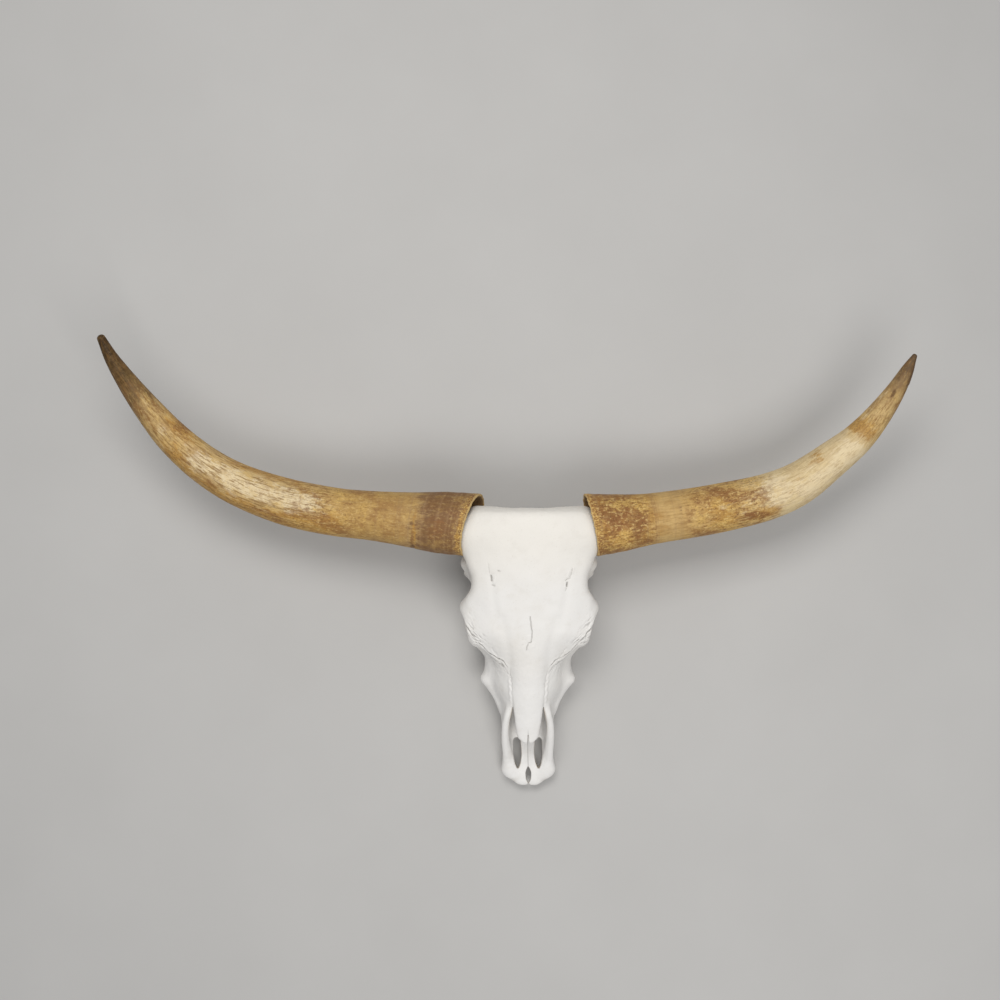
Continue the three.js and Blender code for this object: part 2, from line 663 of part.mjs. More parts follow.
function faceCutter(grow) {
  const { level, lean, line } = ORBITAL_SUTURE;
  const side = [...line, [WIDE, -190]].map(([x, y]) => [x, y + grow]);
  const outline = [[WIDE, -700], ...side.toReversed(), ...side.map(([x, y]) => [-x, y]), [-WIDE, -700]];
  const leaning = prismUp(outline, -10 - level, 240 - level);
  leaning.applyMatrix4(new THREE.Matrix4().makeShear(0, 0, 0, 0, 0, lean));
  return solidOf(leaning.translate(0, 0, level));
}

// The incisive bones, in front of a suture that slants from the nose's opening to the palate.
function incisiveCutter(grow) {
  const outline = [[-384 + grow, 130], [-446 + grow, 10], [-620, 10], [-620, 130]];
  return solidOf(prismAcross(outline.reverse(), -WIDE, WIDE));
}

const sideOf = (sign) =>
  solidOf(new THREE.BoxGeometry(WIDE, 800, 400).translate(sign * (WIDE / 2 + GAP / 2), -300, 100));

// The biggest body of a solid, without the slivers that a cut can leave beside it.
const largest = (solid) => solid.decompose().reduce((a, b) => (b.volume() > a.volume() ? b : a));

const sampled = surfaceOf(bone, [-240, -560, -12], [240, 30, 232], CELL);
const whole = solidOf(geometryOf(simplify(sampled, BONE_TRIANGLES)));
// The half beside +X, cut flat where it lies on the ground.
const half = whole.intersect(solidOf(new THREE.BoxGeometry(400, 900, 400).translate(200, -250, 200)));
const skull = half.add(half.mirror([1, 0, 0]));
const seats = Object.values(HORNS).map((horn) => solidOf(sheath(horn, GAP)));
const nasals = skull.intersect(nasalCutter(0));
const belowNasals = skull.subtract(nasalCutter(GAP));
const behind = belowNasals.subtract(faceCutter(2 * GAP));
const facial = belowNasals.intersect(faceCutter(0));
const incisives = facial.intersect(incisiveCutter(0));

const bones = {
  cranium: seats.reduce((bone, seat) => bone.subtract(seat), behind),
  maxillae: facial.subtract(incisiveCutter(GAP)),
  nasal_left: nasals.intersect(sideOf(-1)),
  nasal_right: nasals.intersect(sideOf(1)),
  incisive_left: incisives.intersect(sideOf(-1)),
  incisive_right: incisives.intersect(sideOf(1)),
};

// ---- The whole part -----------------------------------------------------------------------------

const finish = (color, roughness) => new THREE.MeshStandardMaterial({ color, roughness, metalness: 0 });

function bleachedBone() {
  return finish(0xe9e6e0, 0.72);
}

function hornKeratin() {
  return finish(0xb08a4e, 0.5);
}

function named(name, geometry, material) {
  const mesh = new THREE.Mesh(geometry, material);
  mesh.name = name;
  return mesh;
}

const steerSkull = new THREE.Group();
for (const [name, solid] of Object.entries(bones)) {
  steerSkull.add(named(name, geometryOfSolid(largest(solid)), bleachedBone()));
}
for (const [name, horn] of Object.entries(HORNS)) {
  steerSkull.add(named(name, sheath(horn), hornKeratin()));
}
steerSkull.position.set(...POLL);

export default steerSkull;
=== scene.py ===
"""Longhorn steer skull, life size, face up on a pale floor, seen from straight above.

The shapes are worked out in millimetres in the skull's own frame, as in the CAD part: x across, y from the
poll (0) towards the nose (negative), z up from the floor. POLL moves them to the part's frame, in metres.
"""

import functools
import itertools
import math

import bpy
import numpy as np
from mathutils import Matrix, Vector


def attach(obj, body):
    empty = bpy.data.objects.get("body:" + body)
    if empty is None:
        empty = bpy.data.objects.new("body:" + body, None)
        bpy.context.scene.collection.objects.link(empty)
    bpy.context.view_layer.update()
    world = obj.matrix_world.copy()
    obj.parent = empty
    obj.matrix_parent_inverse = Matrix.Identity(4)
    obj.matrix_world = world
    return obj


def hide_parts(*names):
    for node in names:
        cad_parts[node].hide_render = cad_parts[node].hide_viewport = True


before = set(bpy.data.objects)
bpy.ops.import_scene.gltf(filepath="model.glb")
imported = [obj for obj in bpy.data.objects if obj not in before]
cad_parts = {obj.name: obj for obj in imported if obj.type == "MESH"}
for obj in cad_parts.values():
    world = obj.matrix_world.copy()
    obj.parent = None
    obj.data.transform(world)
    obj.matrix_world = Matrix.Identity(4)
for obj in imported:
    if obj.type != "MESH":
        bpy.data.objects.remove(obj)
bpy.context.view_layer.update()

POLL = np.array([39.9, 115.2, 0.0])
CELL = 1.2

# ---- Camera ------------------------------------------------------------------

CAMERA = (-54.1, 11.0, 2800.0)  # millimetres, in the skull's frame


def make_camera():
    data = bpy.data.cameras.new("camera")
    data.lens = 52.0
    data.sensor_width = 36.0
    camera = bpy.data.objects.new("camera", data)
    camera.location = (np.array(CAMERA) + POLL) / 1000
    bpy.context.scene.collection.objects.link(camera)
    bpy.context.scene.camera = camera


make_camera()

# ---- Small mathematics -------------------------------------------------------


def lerp(a, b, t):
    return a + (b - a) * t


def smooth_min(a, b, k):
    h = np.maximum(k - np.abs(a - b), 0) / k
    return np.minimum(a, b) - h * h * (k / 4)


def smooth_max(a, b, k):
    return -smooth_min(-a, -b, k)


def smooth_step(low, high, v):
    t = np.clip((v - low) / (high - low), 0, 1)
    return t * t * (3 - 2 * t)


def bell(v, width):
    """1 where v is 0, falling smoothly to 0 about two widths away."""
    return np.exp(-((v / width) ** 2))


def folded(points):
    """The points, or their mirror images, on the side x > 0."""
    return np.stack([np.abs(points[:, 0]), points[:, 1], points[:, 2]], axis=1)


def curve(*points):
    """A smooth function through (position, value) pairs, level beyond its ends."""
    t, v = np.array(points, float).T
    before = np.maximum(np.arange(len(t)) - 1, 0)
    after = np.minimum(np.arange(len(t)) + 1, len(t) - 1)
    slope = (v[after] - v[before]) / (t[after] - t[before])

    def at(x):
        x = np.clip(x, t[0], t[-1])
        i = np.clip(np.searchsorted(t, x, side="right") - 1, 0, len(t) - 2)
        width = t[i + 1] - t[i]
        u = (x - t[i]) / width
        bend = u * (1 - u) * width * (slope[i] * (1 - u) - slope[i + 1] * u)
        return (lerp(v[i], v[i + 1], u * u * (3 - 2 * u)) + bend).astype(np.float32)

    return at


def noise(points, size, seed):
    """Smooth noise from about -1 to 1 at (n, 3) points, with lumps about size across."""
    rng = np.random.default_rng(seed)
    table = rng.permutation(256)
    slopes = rng.normal(size=(256, 3))
    slopes /= np.linalg.norm(slopes, axis=1)[:, None]
    q = points / size
    cell = np.floor(q).astype(np.int64)
    f = q - cell
    fade = f * f * f * (f * (f * 6 - 15) + 10)
    total = np.zeros(len(points))
    for corner in itertools.product((0, 1), repeat=3):
        c = cell + corner
        h = table[(table[(table[c[:, 0] & 255] + c[:, 1]) & 255] + c[:, 2]) & 255]
        weight = np.prod(np.where(corner, fade, 1 - fade), axis=1)
        total += weight * np.einsum("ij,ij->i", slopes[h], f - corner)
    return total * 1.7


def blob(points, centre, radii):
    """1 at centre, falling smoothly to 0 about two radii away."""
    return np.exp(-(((points - np.array(centre)) / np.array(radii)) ** 2).sum(axis=1))


def line_distance(points, path):
    """Distance of (n, k) points from a path through k-dimensional points."""
    best = np.full(len(points), 1e9)
    for a, b in zip(path[:-1], path[1:]):
        a, b = np.array(a, float), np.array(b, float)
        t = np.clip(((points - a) @ (b - a)) / ((b - a) @ (b - a)), 0, 1)
        best = np.minimum(best, np.linalg.norm(points - a - t[:, None] * (b - a), axis=1))
    return best


# ---- Shapes, as distances: negative inside, positive outside -----------------


class Shape:
    def __init__(self, low, high, at):
        self.low, self.high, self.at = np.array(low, float), np.array(high, float), at


def ball(centre, radii):
    c, r = np.array(centre, float), np.array(radii, float)

    def at(x, y, z):
        u, v, w = (x - c[0]) / r[0], (y - c[1]) / r[1], (z - c[2]) / r[2]
        near = np.sqrt(u * u + v * v + w * w)
        steep = np.sqrt((u / r[0]) ** 2 + (v / r[1]) ** 2 + (w / r[2]) ** 2)
        return near * (near - 1) / np.maximum(steep, 1e-6)

    return Shape(c - r, c + r, at)


def bar(a, b, ra, rb, flat=(1, 1, 1)):
    """A round bar from a to b, tapering from radius ra to rb, squeezed by flat along each axis."""
    flat = np.array(flat, float)
    a, b = np.array(a, float), np.array(b, float)
    start = a / flat
    way = b / flat - start
    long = way @ way
    r = max(ra, rb) * flat

    def at(x, y, z):
        u, v, w = x / flat[0] - start[0], y / flat[1] - start[1], z / flat[2] - start[2]
        t = np.clip((u * way[0] + v * way[1] + w * way[2]) / long, 0, 1)
        off = np.sqrt((u - t * way[0]) ** 2 + (v - t * way[1]) ** 2 + (w - t * way[2]) ** 2)
        return (off - lerp(ra, rb, t)) * flat.min()

    return Shape(np.minimum(a, b) - r, np.maximum(a, b) + r, at)


def tube(points, flat=(1, 1, 1)):
    """A round bar along a smooth curve through (x, y, z, radius) points."""
    points = np.array(points, float)
    steps = np.linalg.norm(np.diff(points[:, :3], axis=0), axis=1)
    run = np.concatenate([[0], np.cumsum(steps)])
    fine = np.linspace(0, run[-1], 1 + 4 * len(steps))
    line = np.stack([curve(*zip(run, points[:, i]))(fine) for i in range(4)], axis=1)
    parts = [bar(a[:3], b[:3], a[3], b[3], flat) for a, b in zip(line[:-1], line[1:])]

    def at(x, y, z):
        return functools.reduce(np.minimum, (part.at(x, y, z) for part in parts))

    return Shape(np.min([p.low for p in parts], axis=0), np.max([p.high for p in parts], axis=0), at)


def ring(centre, axis, r, thick):
    c, n = np.array(centre, float), np.array(axis, float)
    n /= np.linalg.norm(n)

    def at(x, y, z):
        u, v, w = x - c[0], y - c[1], z - c[2]
        along = u * n[0] + v * n[1] + w * n[2]
        across = np.sqrt(np.maximum(u * u + v * v + w * w - along * along, 0))
        return np.sqrt((across - r) ** 2 + along ** 2) - thick

    return Shape(c - r - thick, c + r + thick, at)


def block(centre, half, round_):
    c, h = np.array(centre, float), np.array(half, float)

    def at(x, y, z):
        q = [np.abs(v - c[i]) - h[i] + round_ for i, v in enumerate((x, y, z))]
        outside = np.sqrt(sum(np.maximum(v, 0) ** 2 for v in q))
        return outside + np.minimum(np.maximum(np.maximum(q[0], q[1]), q[2]), 0) - round_

    return Shape(c - h, c + h, at)


# ---- The skull's lines -------------------------------------------------------

NASION = -254
NASAL_TIP = -444

profile = curve(
    (-450, 96), (-400, 116), (-350, 135), (-300, 152), (NASION, 167), (-190, 183), (-120, 199),
    (-60, 210), (-28, 213), (-12, 208), (0, 192),
)
forehead_width = curve(
    (-292, 52), (-276, 70), (-266, 85), (-257, 103), (-247, 114), (-230, 122.5), (-208, 125), (-186, 123.5),
    (-170, 119), (-150, 108), (-128, 107.5), (-105, 116), (-80, 120), (-45, 117), (-18, 111), (-4, 104),
)
muzzle_base = curve(
    (-440, 42), (-402, 44), (-389, 47), (-372, 52), (-340, 65), (-300, 73), (-262, 73), (-235, 64),
)
muzzle_middle = curve(
    (-486, 45), (-440, 47.5), (-406, 49), (-390, 50.5), (-381, 52), (-370, 55), (-356, 64), (-342, 72.5),
    (-326, 77.5), (-310, 76.5), (-285, 78), (-262, 82), (-235, 90),
)
muzzle_top = curve(
    (-440, 44), (-405, 44), (-390, 38), (-374, 32), (-330, 36), (-300, 45), (-280, 58), (-262, 74),
    (-235, 92),
)
nasal_width = curve(
    (-445, 9), (-440, 13.5), (-435, 17.9), (-428, 20.6), (-409, 23.6), (-390, 26.4), (-370, 28.4),
    (-340, 31), (-296, 35), (-276, 30), (-262, 19), (NASION, 6),
)
MUZZLE_LOW = 30  # the level of muzzle_base
CHEEK = 62  # the level of muzzle_middle, where the face is widest
PALATE = (26, 35)  # the levels of its two sides
FOREHEAD_SHELL = 30  # thickness of the frontal bones with their sinuses
tooth_row = curve((-389, 43), (-350, 54), (-300, 61), (-262, 60), (-244, 57))
TEETH = (17, 19, 19, 25, 30, 34)  # lengths, from the front
TEETH_FRONT = -389.0
ORBITAL_SUTURE = ((34, -326), (36, -306), (46, -288), (70, -276), (82, -260), (98, -235), (120, -208))
NASAL_SIDE = 33  # half the nasal bones' breadth, where their arch ends
NASAL_ARCH = 13  # how far their sides fall below their middle
NASAL_SHELL = 6.5


def nasal_crown(x):
    """An arch as far as the nasal bones' sides, and an even slope beyond them."""
    arch = (np.minimum(x, NASAL_SIDE) / NASAL_SIDE) ** 2
    return NASAL_ARCH * (arch + 2 * np.maximum(x - NASAL_SIDE, 0) / NASAL_SIDE)


def crown(x, y):
    """How far the top falls beside the middle: little on the forehead, more on the nose."""
    return lerp(nasal_crown(x), 27 * (x / 120) ** 2.5, smooth_step(-322, -228, y))


def forehead(x, y, z):
    roof = profile(y) - crown(np.abs(x), y)
    rim = smooth_max((x - forehead_width(y)) * 0.9, z - roof, 17)
    plate = smooth_max(rim, roof - FOREHEAD_SHELL - z, 14)
    return smooth_max(plate, np.maximum(y + 3.4 - 0.00015 * x * x, -288 - y), 12)


def above_face(x, y, z):
    return profile(y) - crown(x, y) - z


def muzzle_side(x, y, z):
    low = np.clip((z - MUZZLE_LOW) / (CHEEK - MUZZLE_LOW), 0, 1)
    below = lerp(muzzle_base(y), muzzle_middle(y), low)
    above = np.clip((z - CHEEK) / (profile(y) - CHEEK), 0, 1)
    return (x - lerp(below, muzzle_top(y), above)) * 0.86


def muzzle(x, y, z):
    shell = smooth_max(muzzle_side(x, y, z), z - profile(y) + crown(x, y), 14)
    front = -(y + 378 + (108 - z) * 1.5) * 0.56
    return smooth_max(smooth_max(shell, PALATE[0] - z, 8), np.maximum(front, y + 232), 5)


def nasal_cavity(x, y, z):
    lid = z - profile(y) + crown(x, y) + NASAL_SHELL
    wall = smooth_max(muzzle_side(x, y, z) + 6.5, (x - 28 - 0.24 * (z - 32)) * 0.97, 6)
    shell = smooth_max(smooth_max(wall, lid, 8), PALATE[1] - z, 8)
    return smooth_max(shell, y + 318 + (z - 70) ** 2 / 90, 16)


def nasal_bones(x, y, z):
    roof = profile(y) - nasal_crown(x)
    plate = smooth_max(x - nasal_width(y), z - roof, 5)
    return smooth_max(smooth_max(plate, roof - NASAL_SHELL - z, 3), NASAL_TIP - y, 3)


# ---- The bone, one feature after another -------------------------------------

FAR = 25.0  # the distance given to everything well outside


class Bone:
    """Distances from the bone's surface on a grid over the side x > 0, to which features are added."""

    def __init__(self, low, high, cell):
        self.cell = cell
        counts = [math.ceil((h - l) / cell) + 1 for l, h in zip(low, high)]
        self.low = np.array(low, float)
        self.axes = [(l + cell * np.arange(n)).astype(np.float32) for l, n in zip(low, counts)]
        self.value = np.full(counts, FAR, np.float32)

    def window(self, low, high):
        cuts = []
        for axis, l, h in zip(self.axes, low, high):
            i, j = np.searchsorted(axis, (l, h))
            cuts.append(slice(i, j))
        x, y, z = (axis[c] for axis, c in zip(self.axes, cuts))
        return tuple(cuts), x[:, None, None], y[None, :, None], z[None, None, :]

    def change(self, shape, blend, join):
        reach = blend + 12
        cuts, x, y, z = self.window(shape.low - reach, shape.high + reach)
        if self.value[cuts].size:
            own = shape.at(np.abs(x), y, z)
            self.value[cuts] = join(self.value[cuts], own, blend)

    def add(self, shape, blend):
        self.change(shape, blend, smooth_min)

    def cut(self, shape, blend):
        self.change(shape, blend, lambda a, b, k: smooth_max(a, -b, k))

    def chain(self, points, blend, flat=(1, 1, 1)):
        self.add(tube(points, flat), blend)

    def sample(self, points):
        """The distance at any points, between the grid's own."""
        q = np.clip((folded(points) - self.low) / self.cell, 0, np.array(self.value.shape) - 1.001)
        i = q.astype(np.int64)
        f = q - i
        total = np.zeros(len(points))
        for corner in itertools.product((0, 1), repeat=3):
            c = i + corner
            weight = np.prod(np.where(corner, f, 1 - f), axis=1)
            total += weight * self.value[c[:, 0], c[:, 1], c[:, 2]]
        return total


def add_braincase(bone):
    bone.add(Shape([-130, -300, 120], [130, 25, 225], forehead), 1)
    bone.add(ball([0, -97, 122], [71, 88, 76]), 16)
    bone.add(ball([0, -46, 138], [88, 34, 62]), 18)  # its back
    bone.chain([[20, -50, 100, 38], [78, -62, 100, 29], [108, -82, 94, 17]], 16)  # its sides, to the ears
    bone.add(ball([0, -31, 145], [26, 11, 20]), 12)  # knob for the neck's ligament
    bone.chain([[0, -28, 162, 9], [60, -29, 158, 9], [92, -44, 140, 10]], 12)  # ridge across the back


def add_base(bone):
    bone.chain([[0, -30, 46, 21], [0, -110, 54, 15], [0, -178, 64, 13]], 10)
    bone.add(ball([15, -76, 38], [10, 13, 8]), 6)  # muscular tubercles
    bone.add(ball([28, -26, 55], [19, 21, 27]), 9)  # condyles
    bone.cut(bar([0, 30, 68], [0, -70, 84], 20, 17), 6)  # opening for the spinal cord
    # The processes beside the condyles, on which the skull rests.
    bone.chain([[70, -44, 84, 17], [66, -42, 44, 11], [60, -44, 4, 8]], 8, [1, 0.8, 1])
    bone.add(ball([47, -86, 46], [12, 20, 20]), 6)  # shells of the middle ears
    bone.add(bar([42, -104, 40], [36, -124, 24], 5, 3), 5)  # their processes
    bone.add(bar([62, -86, 68], [104, -92, 70], 11, 9), 7)  # ear canals
    bone.add(ball([90, -126, 80], [32, 14, 9]), 9)  # joints of the lower jaw
    bone.add(ball([114, -106, 90], [13, 14, 12]), 7)  # back ends of the cheekbones' arches
    bone.cut(bar([98, -91, 70], [125, -95, 72], 4, 5), 2)  # mouths of the ear canals
    bone.cut(bar([34, -70, 52], [36, -64, 20], 5, 6), 4)  # jugular openings
    bone.cut(ball([34, -128, 60], [6, 12, 6]), 4)  # oval openings


def add_orbits(bone):
    bone.add(ball([0, -212, 122], [60, 74, 56]), 20)  # between the orbits
    bone.add(ring([108, -218, 112], [0.95, -0.28, 0.1], 36.5, 7), 12)  # rims
    bone.chain([[98, -182, 86, 9], [112, -184, 112, 8.5], [113, -186, 136, 11]], 12)  # bars behind them
    # Arches of the cheekbones.
    bone.chain([[113, -110, 90, 11], [97, -148, 85, 10], [96, -190, 80, 11], [98, -225, 80, 13]], 9)
    bone.cut(bar([44, -196, 116], [150, -228, 118], 17, 36), 6)  # sockets
    bone.cut(bar([50, -190, 108], [24, -168, 96], 6, 5), 4)  # optic openings
    bone.cut(bar([66, -206, 134], [56, -214, 140], 2.5, 2), 2)  # openings in their roofs


def add_face(bone):
    bone.add(Shape([-100, -500, 20], [100, -225, 185], muzzle), 16)
    # The cheekbones, their knobs and the ridges ahead of them.
    bone.chain([[97, -228, 80, 14], [84, -250, 80, 18], [66, -275, 77, 14.5], [64, -300, 70, 12],
                [73, -324, 62, 9]], 22)
    bone.add(ball([80, -327, 61], [8, 8, 7]), 6)
    bone.chain([[74, -330, 60, 7], [60, -356, 54, 7], [46, -388, 50, 6]], 16)
    # The edges that hold the cheek teeth, and the walls of the inner nostrils.
    bone.chain([[60, -246, 46, 17], [62, -290, 40, 14], [58, -340, 37, 13], [43, -389, 34, 9]], 10)
    bone.add(ball([55, -238, 58], [17, 20, 28]), 12)
    bone.chain([[24, -165, 66, 8], [24, -212, 46, 7], [30, -248, 40, 10]], 8, [0.7, 1, 1])
    bone.add(bar([24, -184, 52], [20, -170, 27], 6, 4), 8)  # hooks
    bone.cut(bar([0, -196, 40], [0, -258, 48], 15, 15), 6)  # inner nostrils


def add_horn_cores(bone):
    """Where the bone before them bulges above the face, it is levelled first."""
    bone.cut(Shape([0, -450, 100], [130, -4, 225], above_face), 1)
    bone.add(bar([60, -48, 158], [96, -47, 152], 42, 45, [1, 0.92, 1]), 18)
    bone.add(bar([92, -47, 152], [190, -34, 140], 45, 36, [1, 0.92, 1]), 6)


def add_teeth(bone):
    """Cheek teeth: three premolars and three bigger molars, with a groove between their lobes."""
    y = TEETH_FRONT
    for n, length in enumerate(TEETH):
        middle = y + length / 2
        row = float(tooth_row(middle))
        half = 9 if n < 3 else 11.5
        bone.add(block([row, middle, 14], [half, length / 2 - 0.6, 20], 4), 2)
        lobes = 1 if n < 3 else 2
        for lobe in range(lobes):
            centre = middle + (lobe - (lobes - 1) / 2) * length / lobes
            reach = length / lobes / 2 - 4
            # The lobe's outer rib, and the crescent hollow in its chewing face.
            bone.add(bar([row + half - 1, centre, -4], [row + half - 2, centre, 26], 3.2, 2.4), 2.5)
            for side in (-1, 1):
                x = row + side * half * 0.36
                hollow = ([x, centre - reach, 0], [x + 1, centre, 0], [x, centre + reach, 0])
                for p, q in itertools.pairwise(hollow):
                    bone.cut(bar(p, q, 1.5, 1.9, [1, 1, 1.6]), 0.8)
        if lobes == 2:
            for low, high in ((half + 1, half + 1.5), (-half - 1, -half - 1)):
                bone.cut(bar([row + low, middle, -4], [row + high, middle, 22], 2.6, 2.0), 1.5)
        y += length


PALATINE_FISSURE = ((20.5, -450, 30, 6.6), (20, -474, 30, 7.7), (20, -490, 28, 5.4), (20, -501, 26, 1.8))


def add_muzzle_front(bone):
    bone.cut(Shape([-60, -520, 25], [60, -300, 160], nasal_cavity), 4)
    bone.add(Shape([-40, -450, 70], [40, -250, 170], nasal_bones), 3)
    bone.add(block([0, -372, 30], [42, 78, 5], 4), 6)
    bone.chain([[43, -389, 34, 8], [41, -440, 31, 6.5], [38, -486, 27, 8]], 8)
    # Upper edges of the nose's opening, and the bodies of the incisive bones at the front.
    bone.chain([[33, -370, 101, 3], [38, -390, 96.5, 4.8], [41.6, -405, 89, 5.2], [43, -422, 79, 5.4],
                [43.1, -440, 68, 5.4], [42, -458, 56, 5.6], [40.6, -474, 44, 6.4], [39.5, -488, 34, 7.4],
                [38, -502, 26, 8.4]], 9)
    bone.chain([[36, -446, 31, 6], [36, -472, 29, 7], [33, -498, 25, 9]], 10)
    bone.add(ball([10, -506, 23], [27, 31, 8.5]), 6)
    bone.add(ball([35, -506, 25], [14.5, 16, 8.5]), 12)
    bone.chain([[7.5, -505, 24, 7], [6.5, -478, 28, 6], [6.5, -440, 32, 6]], 3)
    bone.cut(tube(PALATINE_FISSURE, [1, 1, 8]), 2.5)
    # The gap between the two incisive bones, then the notches in the tips of the nasal bones.
    bone.cut(bar([-22.5, -516, -40], [-22.5, -516, 90], 27.9, 27.9), 1)
    bone.cut(bar([0, -533, 24], [0, -545, 24], 0.2, 9, [1, 1, 6]), 1)
    bone.cut(bar([0, -424, 104], [0, -450, 94], 0.3, 2.2, [1, 1, 6]), 1)
    bone.cut(bar([13.5, -438, 92], [17, -450, 92], 0.4, 4.5, [1, 1, 6]), 1.5)
    bone.chain([[0, -330, 40, 4], [0, -440, 34, 3]], 5)  # vomer


def add_openings(bone):
    """The openings in the cheeks and the palate that nerves and vessels pass through."""
    bone.cut(bar([66, -372, 50], [48, -346, 56], 3.2, 3), 2)
    bone.cut(bar([24, -268, 20], [24, -262, 36], 4, 3), 2)


def make_bone():
    half = CELL / 2
    bone = Bone([-half, -548, -3 * CELL], [212, 14, 224], CELL)
    add_braincase(bone)
    add_base(bone)
    add_orbits(bone)
    add_face(bone)
    add_horn_cores(bone)
    add_teeth(bone)
    add_muzzle_front(bone)
    add_openings(bone)
    bone.value = np.maximum(bone.value, -bone.axes[2])  # cut flat where it rests on the floor
    return bone


# ---- Parting the bone into its bones -----------------------------------------


def nasal_region(x, y, z):
    """Negative in the nasal bones, which lie above a slope that follows the face."""
    under = np.interp(y, (-470, -400, -330, -240), (60, 96, 120, 150))
    wiggle = 0.7 * np.sin(y * 0.52 + 0.9 * np.sin(y * 0.19)) * smooth_step(-400, -350, y)
    side = np.abs(x) - nasal_width(y) - 0.6 - wiggle
    return np.maximum(np.maximum(side, (under - z) * 0.9), y - NASION - 5)


def face_region(x, y, z):
    """Negative in front of the sutures that run from the nasal bones out to the orbits' rims."""
    line = np.interp(np.abs(x), *np.transpose(ORBITAL_SUTURE))
    wiggle = 1.2 * np.sin(x * 0.37 + 1.1 * np.sin(z * 0.19)) + 0.7 * np.sin(z * 0.7 + x * 0.73)
    return (y - line + 0.8 * (z - 140) - wiggle) * 0.62


def incisive_region(x, y, z):
    """Negative in front of the suture between the incisive bones and the maxillae."""
    wiggle = 0.8 * np.sin(z * 0.6) + 0.6 * np.sin(x * 0.8)
    return (y + 446 - (z - 10) * 62 / 120 - wiggle) * 0.88


def nearest_bone(points):
    """The name of the bone that each point belongs to."""
    x, y, z = points.T
    side = np.where(x < 0, "_left", "_right")
    facial = np.where(incisive_region(x, y, z) < 0, np.char.add("incisive", side), "maxillae")
    lower = np.where(face_region(x, y, z) < 0, facial, "cranium")
    return np.where(nasal_region(x, y, z) < 0, np.char.add("nasal", side), lower)


# ---- From distances to a mesh ------------------------------------------------


def surface_nets(value, low, cell):
    """Points and quads of the surface where value is 0, one point for each cell that it crosses."""
    inside = value < 0
    parts = [inside[i : i - 1 or None, j : j - 1 or None, k : k - 1 or None]
             for i, j, k in itertools.product((0, 1), repeat=3)]
    count = np.zeros(parts[0].shape, np.int8)
    for part in parts:
        count += part
    active = (count > 0) & (count < 8)
    cells = np.argwhere(active)
    index = np.full(active.shape, -1, np.int64)
    index[active] = np.arange(len(cells))
    total = np.zeros((len(cells), 3))
    hits = np.zeros(len(cells))
    unit = np.eye(3, dtype=np.int64)
    for step in unit:
        p, q = unit[step == 0]
        for m, n in itertools.product((0, 1), repeat=2):
            a = cells + m * p + n * q
            b = a + step
            va, vb = value[tuple(a.T)], value[tuple(b.T)]
            crossed = (va < 0) != (vb < 0)
            t = np.where(crossed, va / np.where(crossed, va - vb, 1), 0)
            total += np.where(crossed[:, None], a + t[:, None] * step, 0)
            hits += crossed
    points = total / hits[:, None] * cell + low
    quads = []
    for axis in range(3):
        p, q = [o for o in range(3) if o != axis]
        first = [slice(None)] * 3
        second = [slice(None)] * 3
        first[axis], second[axis] = slice(None, -1), slice(1, None)
        for o in (p, q):
            first[o] = second[o] = slice(1, -1)
        a, b = inside[tuple(first)], inside[tuple(second)]
        for rising in (True, False):
            at = np.argwhere((a & ~b) if rising else (~a & b))
            at[:, p] += 1
            at[:, q] += 1
            corners = [at - unit[p] - unit[q], at - unit[q], at, at - unit[p]]
            face = np.stack([index[tuple(c.T)] for c in corners], axis=1)
            quads.append(face if rising == (axis != 1) else face[:, ::-1])
    return points, np.concatenate(quads)


def mirrored(points, quads, cell):
    """The mesh and its mirror image in x = 0, joined along the middle."""
    middle = np.abs(points[:, 0]) < 0.26 * cell
    points[middle, 0] = 0
    twin = np.arange(len(points))
    twin[~middle] = len(points) + np.arange((~middle).sum())
    other = points[~middle] * (-1, 1, 1)
    return np.concatenate([points, other]), np.concatenate([quads, twin[quads][:, ::-1]])


def parted(points, quads, cell):
    """The quads of each bone by its name, their shared edges drawn onto the sutures between them."""
    names = nearest_bone(points[quads].mean(axis=1))
    kinds, label = np.unique(names, return_inverse=True)
    most = np.zeros(len(points), np.int64)
    least = np.full(len(points), len(kinds))
    for corner in range(4):
        np.maximum.at(most, quads[:, corner], label)
        np.minimum.at(least, quads[:, corner], label)
    edge = np.flatnonzero(most != least)
    normals = normals_of(points, quads)[edge]
    for region in (nasal_region, face_region, incisive_region):
        place = points[edge]
        value = region(*place.T)
        slope = np.stack([(region(*(place + step).T) - value) / 0.1 for step in 0.1 * np.eye(3)], axis=1)
        slope -= normals * np.sum(slope * normals, axis=1)[:, None]
        steep = np.sum(slope * slope, axis=1)
        close = (np.abs(value) < cell) & (steep > 0.04)
        move = -value / np.maximum(steep, 0.04)
        points[edge] += slope * (np.clip(move, -cell / 2, cell / 2) * close)[:, None]
    return {str(kind): quads[label == i] for i, kind in enumerate(kinds)}


def with_lips(points, normals, quads, depth):
    """One bone's own points and quads, its edges turned inwards by depth where it meets another bone."""
    edges = np.stack([quads, np.roll(quads, -1, axis=1)], axis=2).reshape(-1, 2)
    key = np.sort(edges, axis=1)
    _, first, count = np.unique(key[:, 0] * len(points) + key[:, 1], return_index=True, return_counts=True)
    open_edges = edges[first[count == 1]]
    rim = np.unique(open_edges)
    inner = np.zeros(len(points), np.int64)
    inner[rim] = len(points) + np.arange(len(rim))
    a, b = open_edges.T
    lip = np.stack([b, a, inner[a], inner[b]], axis=1)
    quads = np.concatenate([quads, lip])
    source = np.concatenate([np.arange(len(points)), rim])
    places = np.concatenate([points, points[rim] - depth * normals[rim]])
    used = np.unique(quads)
    number = np.zeros(len(places), np.int64)
    number[used] = np.arange(len(used))
    return places[used], source[used], number[quads]


